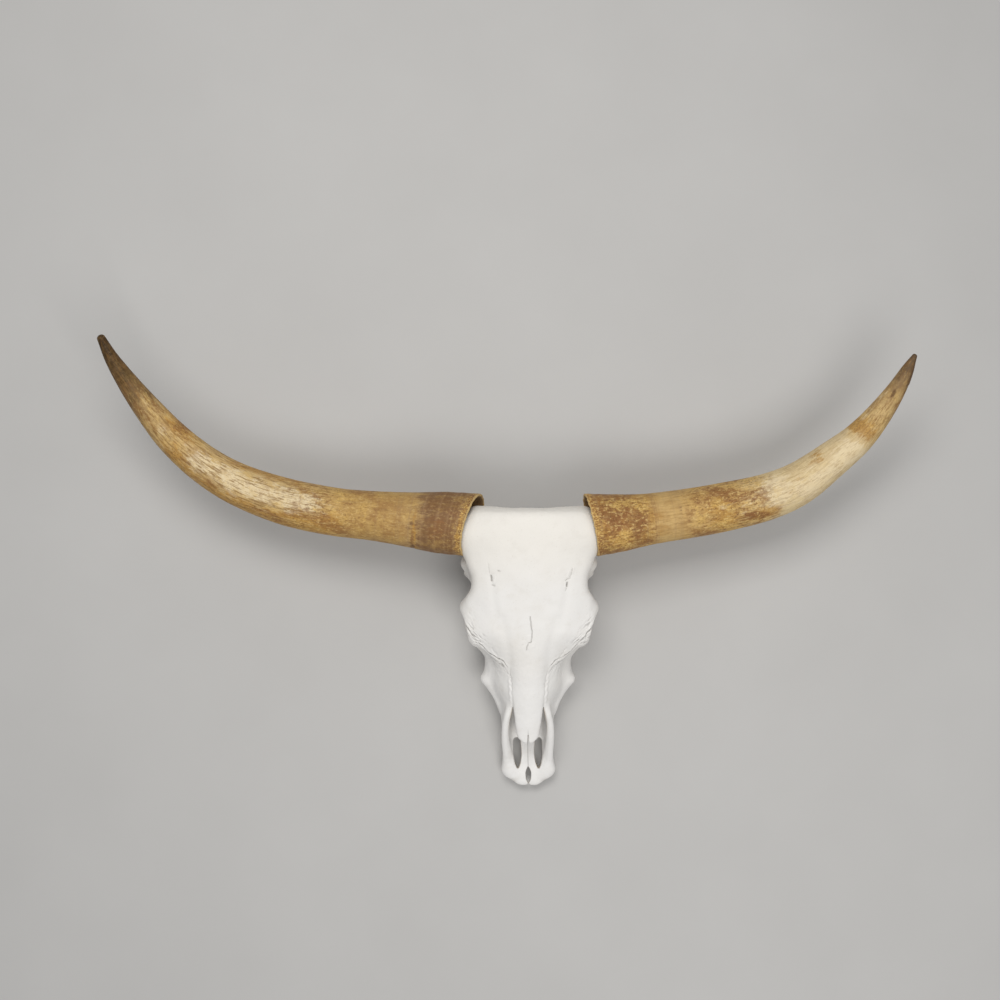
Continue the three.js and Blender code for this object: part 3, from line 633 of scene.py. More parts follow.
def normals_of(points, quads):
    p = points[quads]
    face = np.cross(p[:, 2] - p[:, 0], p[:, 3] - p[:, 1])
    total = np.zeros_like(points)
    for corner in range(4):
        for axis in range(3):
            total[:, axis] += np.bincount(quads[:, corner], face[:, axis], len(points))
    return total / np.maximum(np.linalg.norm(total, axis=1)[:, None], 1e-9)


def make_object(name, points, quads, material, normals=None):
    mesh = bpy.data.meshes.new(name)
    mesh.vertices.add(len(points))
    mesh.vertices.foreach_set("co", ((points + POLL) / 1000).astype(np.float32).ravel())
    mesh.loops.add(quads.size)
    mesh.loops.foreach_set("vertex_index", quads.astype(np.int32).ravel())
    mesh.polygons.add(len(quads))
    mesh.polygons.foreach_set("loop_start", np.arange(0, quads.size, 4, dtype=np.int32))
    mesh.update(calc_edges=True)
    mesh.shade_smooth()
    if normals is not None:
        mesh.normals_split_custom_set_from_vertices(normals)
    mesh.materials.append(material)
    piece = bpy.data.objects.new(name, mesh)
    bpy.context.scene.collection.objects.link(piece)
    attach(piece, "root")
    return piece


def give(piece, name, values):
    """Stores one number, or one vector, at each of the piece's points."""
    kind, key = ("FLOAT", "value") if values.ndim == 1 else ("FLOAT_VECTOR", "vector")
    layer = piece.data.attributes.new(name, kind, "POINT")
    layer.data.foreach_set(key, values.astype(np.float32).ravel())


# ---- Relief of the bone ------------------------------------------------------

# Cracks and openings seen from above: half the width, the depth, the shade, and the path in x and y.
CRACKS = (
    (0.75, 1.5, 0.7, ((0.5, -201), (2.3, -214), (5.0, -227), (4.4, -240), (3.2, -249))),
    (0.7, 1.2, 0.55, ((3.2, -248), (-1.3, -249), (-4.0, -256), (-5.0, -264))),
    (1.3, 2.4, 0.75, ((-71.0, -126), (-69.4, -130), (-70.2, -135))),
    (1.7, 1.5, 0.4, ((-67.5, -144), (-65.0, -144.5))),
    (1.8, 1.3, 0.4, ((-57.2, -117), (-55.4, -117.5))),
    (0.9, 0.7, 0.15, ((-75.5, -104), (-74.0, -113), (-74.5, -122))),
    (0.9, 1.2, 0.35, ((77.4, -114), (74.4, -124), (72.6, -130.5), (69.0, -132), (65.0, -135))),
    (1.2, 3.0, 0.9, ((67.4, -139), (68.0, -146))),
    (1.0, 1.0, 0.3, ((67.4, -149), (65.8, -153))),
)
# Small flakes of bone that stand up beside them: half the width, the height, and the path.
FLAKES = (
    (1.5, 0.8, ((-63.5, -128), (-66.0, -138))),
    (1.4, 0.7, ((70.8, -119), (68.6, -127))),
    (1.3, 0.9, ((64.4, -138), (64.2, -146))),
    (1.3, 0.7, ((79.5, -112), (77.5, -122))),
    (1.6, 0.8, ((-8.5, -247), (-12.0, -252))),
    (1.3, 0.7, ((9.5, -250), (10.0, -257))),
    (1.2, 0.6, ((-1.0, -253), (-1.5, -260))),
)


def worms(points):
    """Wrinkled bone: ridges that run along the lower inner rims of the orbits."""
    x, y, z = points.T
    along, across = -0.7 * (np.abs(x) + y), 0.7 * (np.abs(x) - y)
    place = np.stack([0.26 * along + 60 * np.sign(x), across, z], axis=1)
    bent = place + 1.6 * noise(points, 8, 7)[:, None]
    return np.clip(1 - 2.8 * np.abs(noise(bent, 4.3, 6)), -1, 1)


# Shallow hollows on each side: half the width, the depth, and the path.
HOLLOWS = (
    (7.5, 1.1, ((70, -128), (68, -150), (62, -190), (58, -222))),  # down from the openings above the orbit
    (8.0, 1.5, ((50, -205), (40, -250), (35, -290), (34, -330))),  # between the orbit and the nose
)
CREASE = ((68, -262), (54, -284), (45, -306))  # behind the suture in front of each orbit


def relief(points, normals):
    """How far the bone stands out from its plain shape at each point, and how dark its cracks are there."""
    x, y, z = points.T
    plan = points[:, :2]
    fold = folded(points)
    up = smooth_step(0.1, 0.6, normals[:, 2])
    forehead_part = up * smooth_step(-262, -235, y) * (1 - smooth_step(-40, -5, y))
    height = 0.5 * noise(points, 42, 1) + 0.28 * noise(points, 19, 2)
    height += (0.2 * noise(points, 8, 3) + 0.1 * noise(points, 4, 4)) * (1 - 0.7 * forehead_part)
    dark = np.zeros(len(points))
    wander = np.stack([noise(points, 7, 11), noise(points, 7, 12)], axis=1)
    for width, depth, shade, path in CRACKS:
        near = bell(line_distance(plan + 0.9 * wander, path), width) * up
        height -= depth * near
        dark = np.maximum(dark, shade * near)
    for width, rise, path in FLAKES:
        height += rise * bell(line_distance(plan, path), width) * up
    for width, depth, path in HOLLOWS:
        height -= depth * bell(line_distance(fold[:, :2], path), width) * up
    crease = line_distance(fold[:, :2], CREASE) + 2 * wander[:, 1]
    height -= 0.9 * bell(crease, 1.2) * up
    # The suture in front of the orbits, with its raised lips, and a finer line beside it.
    beyond = face_region(x, y, z)
    lower = smooth_step(0.0, 0.3, normals[:, 2]) * smooth_step(30, 40, fold[:, 0])
    patchy = smooth_step(-0.9, 0.4, noise(points, 15, 13)) * lower
    suture = bell(beyond, 1.1) * patchy
    height += (0.7 * bell(beyond - 3, 2) + 0.5 * bell(beyond + 3, 2)) * patchy
    height -= 1.8 * suture
    dark = np.maximum(dark, 0.85 * suture)
    second = bell(beyond + 9 + 3 * wander[:, 0], 1.3) * patchy * smooth_step(92, 76, fold[:, 0])
    height -= 1.3 * second
    dark = np.maximum(dark, 0.5 * second)
    # The wrinkles of the orbits' rims, and finer ones on the cheeks.
    rims = blob(fold, (96, -244, 146), (15, 17, 24)) + 0.6 * blob(fold, (109, -216, 154), (8, 20, 14))
    rims = np.clip(1.3 * rims, 0, 1)
    wrinkle = worms(points)
    height += rims * (1.1 * wrinkle - 0.4)
    # Painted shade in the troughs of the wrinkles, through the dark attribute.
    dark = np.maximum(dark, 0.5 * rims * smooth_step(0.0, -0.9, wrinkle))
    ridged = np.clip(1 - 3 * np.abs(noise(points * (1.6, 0.6, 1), 6, 14)), -1, 1)
    height += 0.6 * blob(fold, (62, -296, 120), (14, 26, 24)) * ridged
    # The edges of the nasal bones, low and rounded, with a lip beside them, and the line between the two.
    beside = nasal_region(x, y, z)
    height -= 0.9 * bell(beside, 1.1) * smooth_step(-378, -340, y) * smooth_step(-290, -320, y)
    lip = bell(beside - 3.2, 1.8) * smooth_step(-384, -350, y) * smooth_step(-300, -330, y)
    height += lip * smooth_step(0.1, 0.4, normals[:, 2])
    middle = bell(x, 0.7) * up
    height -= 0.18 * middle * smooth_step(-262, -280, y)
    dark = np.maximum(dark, 0.55 * middle * smooth_step(-412, -432, y))
    # Pits in the back of the skull and round the teeth.
    pits = np.clip(noise(points, 3.4, 9) - 0.45, 0, 1)
    rough = smooth_step(-30, -14, y) * (1 - up) + 0.5 * smooth_step(70, 40, z)
    height -= 1.6 * pits * np.clip(rough, 0, 1)
    return height, dark


# How far the nose lies to one side.
nose_lean = curve((-520, 0.4), (-440, -1.5), (-330, -1.5), (-230, -0.6), (-150, 0))


def make_bone_mesh(bone):
    """The whole bone's surface: points, normals, quads, and how hollow and how dark it is at each point."""
    points, quads = mirrored(*surface_nets(bone.value, bone.low, bone.cell), bone.cell)
    normals = normals_of(points, quads)
    # How enclosed each point is, which darkens the bone's colour in its hollows as patchy dust and painted
    # shade.
    hollow = np.zeros(len(points))
    for reach in (3.0, 7.0, 14.0):
        hollow += np.clip(1 - bone.sample(points + normals * reach) / reach, 0, 1) / 3
    quads = parted(points, quads, bone.cell)
    height, dark = relief(points, normals)
    height[points[:, 2] < 0.6] = 0
    points += normals * height[:, None]
    points[:, 0] += nose_lean(points[:, 1])
    points[:, 2] = np.maximum(points[:, 2], 0)
    return points, normals_of(points, np.concatenate(list(quads.values()))), quads, hollow, dark


# ---- Horns -------------------------------------------------------------------

HORN_WALL = 5.0
CAVITY = 118.0  # depth of the hollow that takes the horn core
RIM_SLANT = 150  # how far along the sheath the slant of its rim fades out
AROUND, ROWS = ((184, 480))
HORNS = {
    "horn_left": {
        "side": -1,
        "spine": ((86, -36, 150), (150, -31, 147), (214, -26, 142), (292, -18, 137), (357, -11, 133),
                  (461, 11, 130), (561, 52, 134), (646, 117, 147), (711, 197, 170), (751, 262, 198),
                  (766, 300, 221)),
        "radius": ((0, 58), (0.08, 56.5), (0.16, 50.5), (0.26, 45), (0.4, 44), (0.47, 42.5), (0.6, 37),
                   (0.73, 31), (0.8, 26.5), (0.91, 16.8), (0.97, 10.5), (1, 7.5)),
        "rim": {"lean": 10.0, "tilt": 12.0, "start": 18.2},
    },
    "horn_right": {
        "side": 1,
        "spine": ((92, -36, 150), (150, -32, 147), (182, -29, 145), (237, -22, 140), (345, -5, 133),
                  (442, 18, 133), (497, 42, 137), (554, 84, 145), (608, 131, 158), (662, 208, 184),
                  (689, 269, 211)),
        "radius": ((0, 58), (0.08, 53), (0.18, 47), (0.4, 44.5), (0.55, 40.5), (0.68, 33), (0.8, 25.5),
                   (0.9, 17.6), (0.96, 11.5), (1, 4.6)),
        "rim": {"lean": 7.7, "tilt": 0.5, "start": 19.9},
    },
}


def spine_points(control, count):
    """Evenly spaced points along a centripetal Catmull-Rom curve, and the curve's length."""
    p = np.array(control, float)
    p = np.concatenate([[2 * p[0] - p[1]], p, [2 * p[-1] - p[-2]]])
    fine = []
    for a, b, c, d in zip(p[:-3], p[1:-2], p[2:-1], p[3:]):
        t0, t1, t2 = (np.linalg.norm(v) ** 0.5 for v in (b - a, c - b, d - c))
        m1 = ((b - a) / t0 - (c - a) / (t0 + t1) + (c - b) / t1) * t1
        m2 = ((c - b) / t1 - (d - b) / (t1 + t2) + (d - c) / t2) * t1
        u = np.linspace(0, 1, 80, endpoint=False)[:, None]
        fine.append(b + m1 * u + (3 * (c - b) - 2 * m1 - m2) * u ** 2 + (2 * (b - c) + m1 + m2) * u ** 3)
    fine = np.concatenate([*fine, [p[-2]]])
    run = np.concatenate([[0], np.cumsum(np.linalg.norm(np.diff(fine, axis=0), axis=1))])
    even = np.linspace(0, run[-1], count)
    return np.stack([np.interp(even, run, fine[:, i]) for i in range(3)], axis=1), run[-1]


# Patches of colour on the sheaths, by kind: place along (0 rim, 1 tip), place across (-1 back, 1 nose side),
# the reach each way, and the strength.
PATCHES = {
    "horn_left": {
        "brown": ((0.735, -0.9, 0.03, 0.4, 0.8), (0.292, -0.35, 0.016, 0.35, 0.35),
                  (0.07, 0.3, 0.03, 0.5, 0.5), (0.60, 0.55, 0.03, 0.25, 0.5),
                  (0.46, 0.75, 0.05, 0.25, 0.6), (0.139, 0.7, 0.006, 0.5, 1.0)),
        "ochre": ((0.735, -0.8, 0.045, 0.5, 1.0), (0.655, -0.45, 0.02, 0.25, 0.6),
                  (0.52, 0.85, 0.16, 0.4, 1.0), (0.70, 0.4, 0.05, 0.5, 0.7),
                  (0.40, 0.8, 0.06, 0.5, 0.9), (0.50, -0.95, 0.12, 0.2, 0.8),
                  (0.33, 0.3, 0.03, 0.4, 0.6), (0.012, 0.2, 0.01, 1.2, 0.6),
                  (0.134, 0.6, 0.006, 0.8, 0.8)),
        "cream": ((0.55, -0.15, 0.12, 0.55, 1.0), (0.40, -0.2, 0.05, 0.4, 1.0),
                  (0.655, 0.05, 0.022, 0.5, 0.8), (0.76, 0.05, 0.02, 0.3, 0.3)),
        "dark": ((0.140, 0.95, 0.006, 0.25, 0.6), (0.366, 0.1, 0.0022, 1.1, 0.5),
                 (0.80, 0.9, 0.03, 0.25, 0.5), (0.19, 1.0, 0.1, 0.14, 0.4)),
    },
    "horn_right": {
        "brown": ((0.295, -0.6, 0.025, 0.35, 0.4), (0.26, 0.05, 0.02, 0.2, 0.2),
                  (0.03, 0.85, 0.03, 0.4, 1.0), (0.06, -0.3, 0.035, 0.5, 0.9),
                  (0.12, 0.4, 0.03, 0.5, 0.6), (0.42, 0.55, 0.035, 0.2, 0.75),
                  (0.39, 0.15, 0.02, 0.12, 0.5), (0.37, -0.3, 0.02, 0.4, 0.5),
                  (0.33, 0.25, 0.02, 0.3, 0.35), (0.135, -0.25, 0.025, 0.4, 0.5),
                  (0.88, 0.85, 0.05, 0.3, 0.6), (0.08, -0.7, 0.04, 0.4, 0.5),
                  (0.176, 0.4, 0.003, 0.8, 0.5)),
        "gold": ((0.075, 0.55, 0.035, 0.35, 0.9), (0.36, 0.5, 0.03, 0.35, 0.5),
                 (0.34, -0.3, 0.02, 0.3, 0.4)),
        "ochre": ((0.035, 0.6, 0.02, 0.6, 0.9), (0.36, 0.1, 0.04, 0.8, 0.9),
                  (0.46, 0.6, 0.05, 0.3, 0.9), (0.782, -0.1, 0.028, 0.9, 0.8),
                  (0.64, -0.7, 0.03, 0.25, 0.62), (0.55, 0.2, 0.03, 0.3, 0.4),
                  (0.772, -0.8, 0.02, 0.3, 1.0), (0.62, -0.15, 0.012, 0.12, 0.5),
                  (0.645, -0.4, 0.012, 0.13, 0.55), (0.595, 0.05, 0.013, 0.12, 0.5),
                  (0.52, -0.45, 0.014, 0.14, 0.6), (0.57, -0.3, 0.012, 0.12, 0.5),
                  (0.53, 0.1, 0.012, 0.12, 0.5), (0.49, -0.1, 0.014, 0.13, 0.6)),
        "cream": ((0.405, 0.35, 0.025, 0.1, 0.6), (0.365, -0.05, 0.02, 0.12, 0.5),
                  (0.62, 0.25, 0.11, 0.6, 0.9), (0.50, -0.5, 0.05, 0.4, 0.7),
                  (0.50, 0.0, 0.03, 0.5, 0.5), (0.42, 0.0, 0.02, 0.2, 0.5),
                  (0.72, 0.2, 0.03, 0.8, 0.9), (0.85, -0.82, 0.06, 0.1, 0.55)),
        "dark": ((0.897, -0.25, 0.008, 0.2, 0.9), (0.96, 0.9, 0.07, 0.5, 0.8),
                 (0.25, -0.15, 0.006, 0.1, 0.6)),
    },
}
# The patches' colours, laid on in this order, and the most that each may cover.
TINTS = {
    "ochre": ((0.46, 0.245, 0.055), 0.85),
    "cream": ((0.78, 0.64, 0.41), 0.9),
    "brown": ((0.25, 0.115, 0.04), 0.8),
    "gold": ((0.66, 0.40, 0.11), 0.7),
    "dark": ((0.085, 0.038, 0.018), 0.85),
}


def horn_profile(horn, length):
    """From the cavity's bottom over the rim and along to the tip: radius, place, and 1 where outside."""
    taper = curve(*horn["radius"])
    mouth, end = float(taper(0)), float(taper(1))
    inner = [(0.0, CAVITY, 0), (26, CAVITY, 0), (38, CAVITY - 3, 0)]
    inner += [(float(taper(s / length)) - HORN_WALL, s, 0) for s in np.linspace(CAVITY - 8, 2, 26)]
    lip = [(mouth - HORN_WALL + 1.2, 0.4, 1), (mouth - 2.4, -0.3, 1), (mouth - 0.8, 0.5, 1)]
    outer = [(float(taper(s / length)), s, 1) for s in np.linspace(2.0, length, ROWS)]
    turns = np.linspace(0.2, math.pi / 2, 7)
    tip = [(end * math.cos(a), length + 0.85 * end * math.sin(a), 1) for a in turns]
    return np.array(inner + lip + outer + tip, float).T


def horn_skin(name, straight, share, outside, edge):
    """The sheath's relief, how far its rim's points slip along it, and the strength of each kind of patch."""
    side = HORNS[name]["side"]
    s = straight[:, 2]
    height = 0.55 * noise(straight * (1, 1, 0.25), 30, 20 + side)
    height += 0.26 * noise(straight * (1, 1, 0.12), 3.4, 22 + side) * (1 - 0.6 * share)
    height += 0.20 * noise(straight * (1, 1, 0.3), 2.4, 24 + side) * (1 - 0.6 * share)
    # Growth rings near the skull, closer together towards the rim.
    turn = s + 3.0 * noise(straight, 45, 26 + side)
    rings = np.sin(turn / 5.2 + 1.6 * np.sin(turn / 31.0))
    height += 0.28 * rings * np.exp(-share * 7)
    where = np.stack([share + 0.004 * noise(straight, 16, 27 + side), edge], axis=1)
    where[:, 1] += 0.10 * noise(straight, 24, 28 + side)
    tints = {kind: np.zeros(len(straight)) for kind in TINTS}
    for kind, patches in PATCHES[name].items():
        for along, across, reach, width, weight in patches:
            tints[kind] += weight * blob(where, (along, across), (reach, width))
    height -= 1.0 * np.clip(tints["dark"], 0, 1) * (share < 0.93)
    ragged = np.where(outside > 0, 1.0, 0.6) * np.exp(-np.clip(s, 0, None) / 3.0)
    slip = 1.3 * ragged * noise(straight * (1, 1, 0), 9, 30 + side)
    return height * outside, slip, {kind: np.clip(weight, 0, 1) for kind, weight in tints.items()}


def bend(shaped, horn, line, length):
    """Where the points of a straight horn lie when it is bent round its spine, as in the CAD part."""
    share = np.clip(shaped[:, 2] / length, 0, 1) * (len(line) - 1)
    i = np.minimum(share.astype(int), len(line) - 2)
    f = (share - i)[:, None]
    tangent = np.gradient(line, axis=0)
    tangent /= np.linalg.norm(tangent, axis=1)[:, None]
    point, way = (v[i] * (1 - f) + v[i + 1] * f for v in (line, tangent))
    flank = np.cross([0, 0, 1], way)
    flank /= np.linalg.norm(flank, axis=1)[:, None]
    front = np.cross(way, flank)
    rim = horn["rim"]
    lean, tilt = (math.tan(math.radians(rim[key])) for key in ("lean", "tilt"))
    slide = -horn["side"] * shaped[:, 0] * lean + shaped[:, 1] * tilt + rim["start"]
    slide *= np.clip(1 - shaped[:, 2] / RIM_SLANT, 0, 1)
    beyond = shaped[:, 2] - np.clip(shaped[:, 2], 0, length)
    return point + way * (beyond + slide)[:, None] + flank * shaped[:, :1] + front * shaped[:, 1:2]


def make_horn(name, material):
    horn = HORNS[name]
    line, length = spine_points(np.array(horn["spine"], float) * (horn["side"], 1, 1), 1200)
    r, s, outside = (np.repeat(v, AROUND) for v in horn_profile(horn, length))
    angle = np.tile(np.arange(AROUND) * (2 * math.pi / AROUND), len(r) // AROUND)
    # The straight horn: level across, up, and along from the rim to the tip.
    straight = np.stack([r * -np.sin(angle), r * np.cos(angle), s], axis=1)
    edge = -horn["side"] * straight[:, 0] / np.maximum(r, 1)
    share = s / length
    rise, slip, tints = horn_skin(name, straight, share, outside, edge)
    straight[:, 2] += slip
    radial = straight[:, :2] / np.maximum(np.linalg.norm(straight[:, :2], axis=1)[:, None], 1e-6)
    shaped = straight.copy()
    shaped[:, :2] += radial * rise[:, None]
    grid = np.arange(len(straight)).reshape(-1, AROUND)
    after = np.roll(grid, -1, axis=1)
    quads = np.stack([grid[:-1], after[:-1], after[1:], grid[1:]], axis=2).reshape(-1, 4)
    piece = make_object(name + "_sheath", bend(shaped, horn, line, length), quads, material)
    stored = {"straight": straight / 1000, "place": share, "outside": outside, **tints}
    for key, values in stored.items():
        give(piece, key, values)
    return piece


# ---- Materials ---------------------------------------------------------------


class Look:
    """A node material built step by step."""

    def __init__(self, name):
        self.material = bpy.data.materials.new(name)
        self.material.use_nodes = True
        self.tree = self.material.node_tree
        self.shader = self.tree.nodes["Principled BSDF"]
        self.colour = None

    def node(self, kind, settings=None, inputs=None):
        node = self.tree.nodes.new(kind)
        for key, value in (settings or {}).items():
            setattr(node, key, value)
        for key, value in (inputs or {}).items():
            self.feed(node.inputs[key], value)
        return node

    def feed(self, socket, value):
        if isinstance(value, bpy.types.NodeSocket):
            self.tree.links.new(value, socket)
        else:
            socket.default_value = value

    def attribute(self, name, output="Fac"):
        return self.node("ShaderNodeAttribute", {"attribute_name": name}).outputs[output]

    def place(self, source, scale):
        return self.node("ShaderNodeMapping", inputs={"Vector": source, "Scale": scale}).outputs["Vector"]

    def noise(self, vector, scale, detail=3.0, roughness=0.55):
        inputs = {"Vector": vector, "Scale": scale, "Detail": detail, "Roughness": roughness}
        return self.node("ShaderNodeTexNoise", inputs=inputs).outputs["Fac"]

    def between(self, value, low, high, first=0.0, last=1.0):
        inputs = {"Value": value, "From Min": low, "From Max": high, "To Min": first, "To Max": last}
        node = self.node("ShaderNodeMapRange", {"interpolation_type": "SMOOTHSTEP"}, inputs)
        return node.outputs["Result"]

    def math(self, operation, a, b):
        return self.node("ShaderNodeMath", {"operation": operation}, {0: a, 1: b}).outputs["Value"]

    def mix(self, factor, a, b):
        node = self.node("ShaderNodeMix", {"data_type": "RGBA"})
        self.feed(node.inputs["Factor"], factor)
        for socket, value in zip([i for i in node.inputs if i.type == "RGBA"], (a, b)):
            self.feed(socket, value if isinstance(value, bpy.types.NodeSocket) else (*value, 1.0))
        return next(o for o in node.outputs if o.type == "RGBA")

    def stain(self, tint, most, value, low, high, where=1.0):
        """Turns the colour towards tint, by up to most, as value goes from low to high."""
        amount = self.math("MULTIPLY", self.between(value, low, high, 0.0, most), where)
        self.colour = self.mix(amount, self.colour, tint)

    def ramp(self, factor, stops):
        node = self.node("ShaderNodeValToRGB", inputs={"Fac": factor})
        elements = node.color_ramp.elements
        while len(elements) < len(stops):
            elements.new(0.5)
        for element, (position, colour) in zip(elements, stops):
            element.position = position
            element.color = (*colour, 1.0)
        return node.outputs["Color"]

    def level(self, factor, stops):
        """A number that changes evenly between (position, value) pairs."""
        return self.ramp(factor, [(position, (value, value, value)) for position, value in stops])

    def bump(self, height, strength, distance, normal=None):
        inputs = {"Height": height, "Strength": strength, "Distance": distance}
        if normal is not None:
            inputs["Normal"] = normal
        return self.node("ShaderNodeBump", inputs=inputs).outputs["Normal"]

    def finish(self, roughness, normal):
        self.feed(self.shader.inputs["Base Color"], self.colour)
        self.feed(self.shader.inputs["Roughness"], roughness)
        self.feed(self.shader.inputs["Normal"], normal)
        return self.material


def bone_look():
    look = Look("bone")
    where = look.node("ShaderNodeTexCoord").outputs["Object"]
    broad = look.noise(where, 9.0, 4.0)
    look.colour = look.mix(look.between(broad, 0.38, 0.68), (0.83, 0.81, 0.78), (0.80, 0.772, 0.728))
    # A warmer crown, a paler nose, and faint clouds.
    back = look.node("ShaderNodeSeparateXYZ", inputs={"Vector": where}).outputs["Y"]
    look.stain((0.82, 0.785, 0.725), 1.0, back, -0.06, 0.06)
    look.stain((0.865, 0.85, 0.83), 0.7, back, -0.12, -0.28)
    cloud = look.noise(where, 38.0, 5.0, 0.6)
    look.stain((0.70, 0.66, 0.60), 0.35, cloud, 0.5, 0.78)
    # Patchy dust and painted shade in the hollows, painted shade in the cracks and wrinkles with the dark
    # lines of the sutures, and specks.
    patchy_dust_and_shade = look.between(look.noise(where, 60.0, 5.0), 0.2, 0.7, 0.55, 1.0)
    look.stain((0.43, 0.37, 0.29), 0.85, look.attribute("hollow"), 0.12, 0.62, patchy_dust_and_shade)
    shade = look.math("MULTIPLY", look.attribute("dark"), 0.85)
    look.colour = look.mix(shade, look.colour, (0.075, 0.06, 0.045))
    speck = look.noise(where, 420.0, 3.0, 0.5)
    look.stain((0.50, 0.43, 0.34), 0.22, speck, 0.62, 0.74)
    grain = look.noise(look.place(where, (1.0, 0.35, 1.0)), 700.0, 3.0, 0.6)
    pores = look.noise(where, 260.0, 4.0, 0.65)
    normal = look.bump(grain, 0.18, 0.0004)
    normal = look.bump(pores, 0.25, 0.0008, normal)
    look.shader.inputs["Specular IOR Level"].default_value = 0.4
    return look.finish(look.between(cloud, 0.3, 0.7, 0.58, 0.74), normal)


# Colours along each horn, from rim to tip, and how strong its fibres and its mottling are there.
HORN_COLOURS = {
    "horn_left": (
        (0.0, (0.215, 0.108, 0.042)), (0.12, (0.195, 0.103, 0.046)), (0.150, (0.49, 0.31, 0.115)),
        (0.175, (0.46, 0.28, 0.095)),
        (0.30, (0.48, 0.29, 0.092)), (0.36, (0.55, 0.355, 0.13)), (0.48, (0.62, 0.44, 0.20)),
        (0.70, (0.58, 0.40, 0.17)), (0.81, (0.46, 0.30, 0.12)), (0.85, (0.17, 0.10, 0.038)),
        (0.93, (0.072, 0.039, 0.012)), (1.0, (0.036, 0.019, 0.006)),
    ),
    "horn_right": (
        (0.0, (0.36, 0.175, 0.05)), (0.08, (0.38, 0.19, 0.055)), (0.16, (0.45, 0.25, 0.07)),
        (0.21, (0.60, 0.40, 0.16)), (0.32, (0.50, 0.295, 0.095)), (0.42, (0.58, 0.37, 0.13)),
        (0.50, (0.73, 0.575, 0.32)), (0.74, (0.70, 0.55, 0.315)), (0.80, (0.60, 0.41, 0.165)),
        (0.85, (0.60, 0.42, 0.185)), (0.90, (0.40, 0.26, 0.11)), (0.95, (0.145, 0.09, 0.045)),
        (1.0, (0.085, 0.055, 0.03)),
    ),
}
FIBRES = {
    "horn_left": ((0.0, 0.2), (0.16, 0.3), (0.3, 0.4), (0.42, 1.0), (0.84, 1.0), (0.92, 0.4)),
    "horn_right": ((0.0, 0.3), (0.2, 0.35), (0.42, 0.6), (0.5, 0.35), (0.75, 0.3), (0.81, 0.8),
                   (0.95, 0.4)),
}
MOTTLING = {
    "horn_left": ((0.0, 0.4), (0.12, 0.25), (0.2, 0.4), (0.36, 0.8), (0.5, 0.3), (0.7, 0.35),
                  (0.82, 0.5), (0.9, 0.1)),
    "horn_right": ((0.0, 1.0), (0.15, 1.0), (0.19, 0.15), (0.25, 0.2), (0.29, 0.9), (0.45, 0.95),
                   (0.52, 0.15), (0.75, 0.1), (0.82, 0.5), (0.95, 0.2)),
}


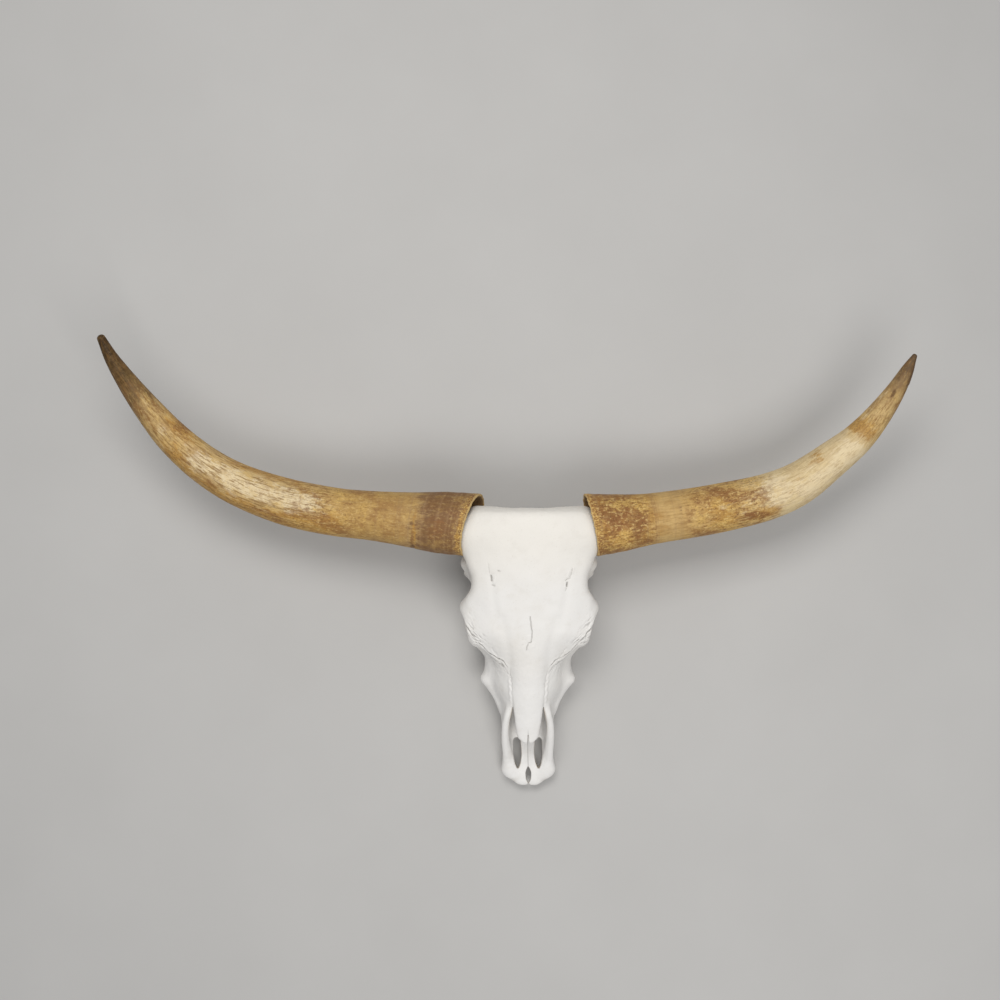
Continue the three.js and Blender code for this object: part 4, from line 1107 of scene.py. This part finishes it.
def horn_look(name):
    look = Look(name)
    straight = look.attribute("straight", "Vector")
    place = look.attribute("place")
    outside = look.attribute("outside")
    fibres = look.level(place, FIBRES[name])
    mottling = look.level(place, MOTTLING[name])

    def streaks(share, scale, detail, roughness):
        """Noise drawn out along the horn: its scale along is this share of its scale across."""
        return look.noise(look.place(straight, (1.0, 1.0, share)), scale, detail, roughness)

    shift = look.between(streaks(0.35, 60.0, 5.0, 0.7), 0.25, 0.75, -0.03, 0.03)
    look.colour = look.ramp(look.math("ADD", place, shift), HORN_COLOURS[name])
    # Growth rings.
    along = look.node("ShaderNodeCombineXYZ", inputs={"X": place}).outputs["Vector"]
    rings = look.noise(along, 75.0, 3.0, 0.6)
    near_rim = look.between(place, 0.15, 0.3, 1.0, 0.25)
    look.stain((0.36, 0.225, 0.11), 0.4, rings, 0.45, 0.62, near_rim)
    # The patches, with ragged edges along the fibres.
    ragged = look.between(streaks(0.3, 130.0, 6.0, 0.75), 0.3, 0.7, -0.45, 0.3)
    for kind, (tint, most) in TINTS.items():
        edge = look.math("ADD", look.attribute(kind), ragged)
        look.stain(tint, most, edge, 0.18, 0.62)
    # Brown and golden lumps, where the horn is mottled.
    lumps = streaks(0.7, 40.0, 7.0, 0.70)
    look.stain((0.25, 0.105, 0.035), 0.85, lumps, 0.49, 0.60, mottling)
    golden = look.math("MULTIPLY", look.between(lumps, 0.48, 0.38, 0.0, 0.6), mottling)
    look.colour = look.mix(golden, look.colour, (0.64, 0.41, 0.12))
    # Fibres: dull blotches, short pale and dark strokes along the horn, and long threads.
    blotches = streaks(0.5, 75.0, 6.0, 0.75)
    fibrous = look.between(fibres, 0.0, 1.0, 0.4, 1.0)
    look.stain((0.30, 0.155, 0.045), 0.5, blotches, 0.52, 0.70, fibrous)
    before_tip = look.math("MULTIPLY", look.between(place, 0.80, 0.90, 1.0, 0.1), fibres)
    pale = streaks(0.14, 250.0, 4.0, 0.7)
    look.stain((0.74, 0.57, 0.29), 0.5, pale, 0.52, 0.68, before_tip)
    strokes = streaks(0.09, 400.0, 3.0, 0.6)
    look.stain((0.27, 0.145, 0.042), 0.8, strokes, 0.52, 0.63, fibres)
    threads = streaks(0.03, 300.0, 3.0, 0.6)
    look.stain((0.27, 0.15, 0.045), 0.7, threads, 0.55, 0.64, fibres)
    # Flecks, dark and golden, where the horn is mottled, and specks.
    flecks = streaks(0.5, 215.0, 5.0, 0.7)
    look.stain((0.20, 0.09, 0.027), 0.8, flecks, 0.56, 0.63, mottling)
    look.stain((0.76, 0.54, 0.22), 0.65, flecks, 0.45, 0.38, mottling)
    specks = streaks(0.6, 420.0, 3.0, 0.6)
    grainy = look.math("MAXIMUM", mottling, look.attribute("ochre"))
    grainy = look.math("MAXIMUM", look.math("MULTIPLY", fibres, 0.4), grainy)
    look.stain((0.13, 0.06, 0.02), 0.7, specks, 0.55, 0.68, grainy)
    bright = look.math("MAXIMUM", look.between(place, 0.006, 0.035, 0.9, 0.0), golden)
    look.stain((0.74, 0.50, 0.16), 1.0, specks, 0.49, 0.36, bright)
    # The golden lip of the rim, and the brown inside.
    look.stain((0.62, 0.44, 0.19), 0.7, place, 0.0045, 0.0015, outside)
    look.colour = look.mix(outside, (0.27, 0.165, 0.08), look.colour)
    normal = look.bump(strokes, 0.5, 0.0008)
    normal = look.bump(specks, 0.35, 0.0008, normal)
    normal = look.bump(blotches, 0.25, 0.0015, normal)
    normal = look.bump(flecks, 0.3, 0.001, normal)
    look.shader.inputs["Specular IOR Level"].default_value = 0.22
    return look.finish(look.between(blotches, 0.3, 0.7, 0.50, 0.66), normal)


def floor_look():
    look = Look("floor")
    where = look.node("ShaderNodeTexCoord").outputs["Object"]
    look.colour = look.mix(look.noise(where, 3.0, 5.0), (0.50, 0.49, 0.475), (0.56, 0.55, 0.535))
    look.shader.inputs["Specular IOR Level"].default_value = 0.2
    return look.finish(0.85, look.bump(look.noise(where, 120.0, 4.0), 0.05, 0.001))


# ---- Building the pieces -----------------------------------------------------


def make_bones():
    look = bone_look()
    points, normals, parts, hollow, dark = make_bone_mesh(make_bone())
    for name, quads in parts.items():
        places, source, quads = with_lips(points, normals, quads, 2.5)
        piece = make_object(name + "_bone", places, quads, look, normals[source])
        give(piece, "hollow", hollow[source])
        give(piece, "dark", dark[source])
        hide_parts(name)


def make_horns():
    for name in HORNS:
        piece = make_horn(name, horn_look(name))
        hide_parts(name)


def make_floor():
    size = 6.0
    mesh = bpy.data.meshes.new("floor")
    corners = [(-size, -size, 0), (size, -size, 0), (size, size, 0), (-size, size, 0)]
    mesh.from_pydata(corners, [], [(0, 1, 2, 3)])
    mesh.materials.append(floor_look())
    floor = bpy.data.objects.new("floor", mesh)
    bpy.context.scene.collection.objects.link(floor)


def make_light(name, place, target, size, watts, colour=(1, 1, 1)):
    data = bpy.data.lights.new(name, "AREA")
    data.shape = "RECTANGLE"
    data.size, data.size_y = size
    data.energy = watts
    data.color = colour
    light = bpy.data.objects.new(name, data)
    bpy.context.scene.collection.objects.link(light)
    way = Vector(target) - Vector(place)
    light.location = place
    light.rotation_euler = way.to_track_quat("-Z", "Y").to_euler()


def make_lights():
    world = bpy.data.worlds.new("studio")
    world.use_nodes = True
    world.node_tree.nodes["Background"].inputs["Color"].default_value = (0.95, 0.97, 1.0, 1.0)
    world.node_tree.nodes["Background"].inputs["Strength"].default_value = 0.36
    bpy.context.scene.world = world
    make_light("key", (-0.3, 1.3, 2.7), (0.0, 0.0, 0.1), (1.6, 1.2), 39, (1.0, 0.985, 0.96))
    make_light("fill", (0.6, -1.3, 2.8), (0.0, -0.1, 0.1), (1.8, 1.4), 34, (1.0, 0.99, 0.975))


make_bones()
make_horns()
make_floor()
make_lights()
bpy.context.scene.view_settings.view_transform = "Standard"
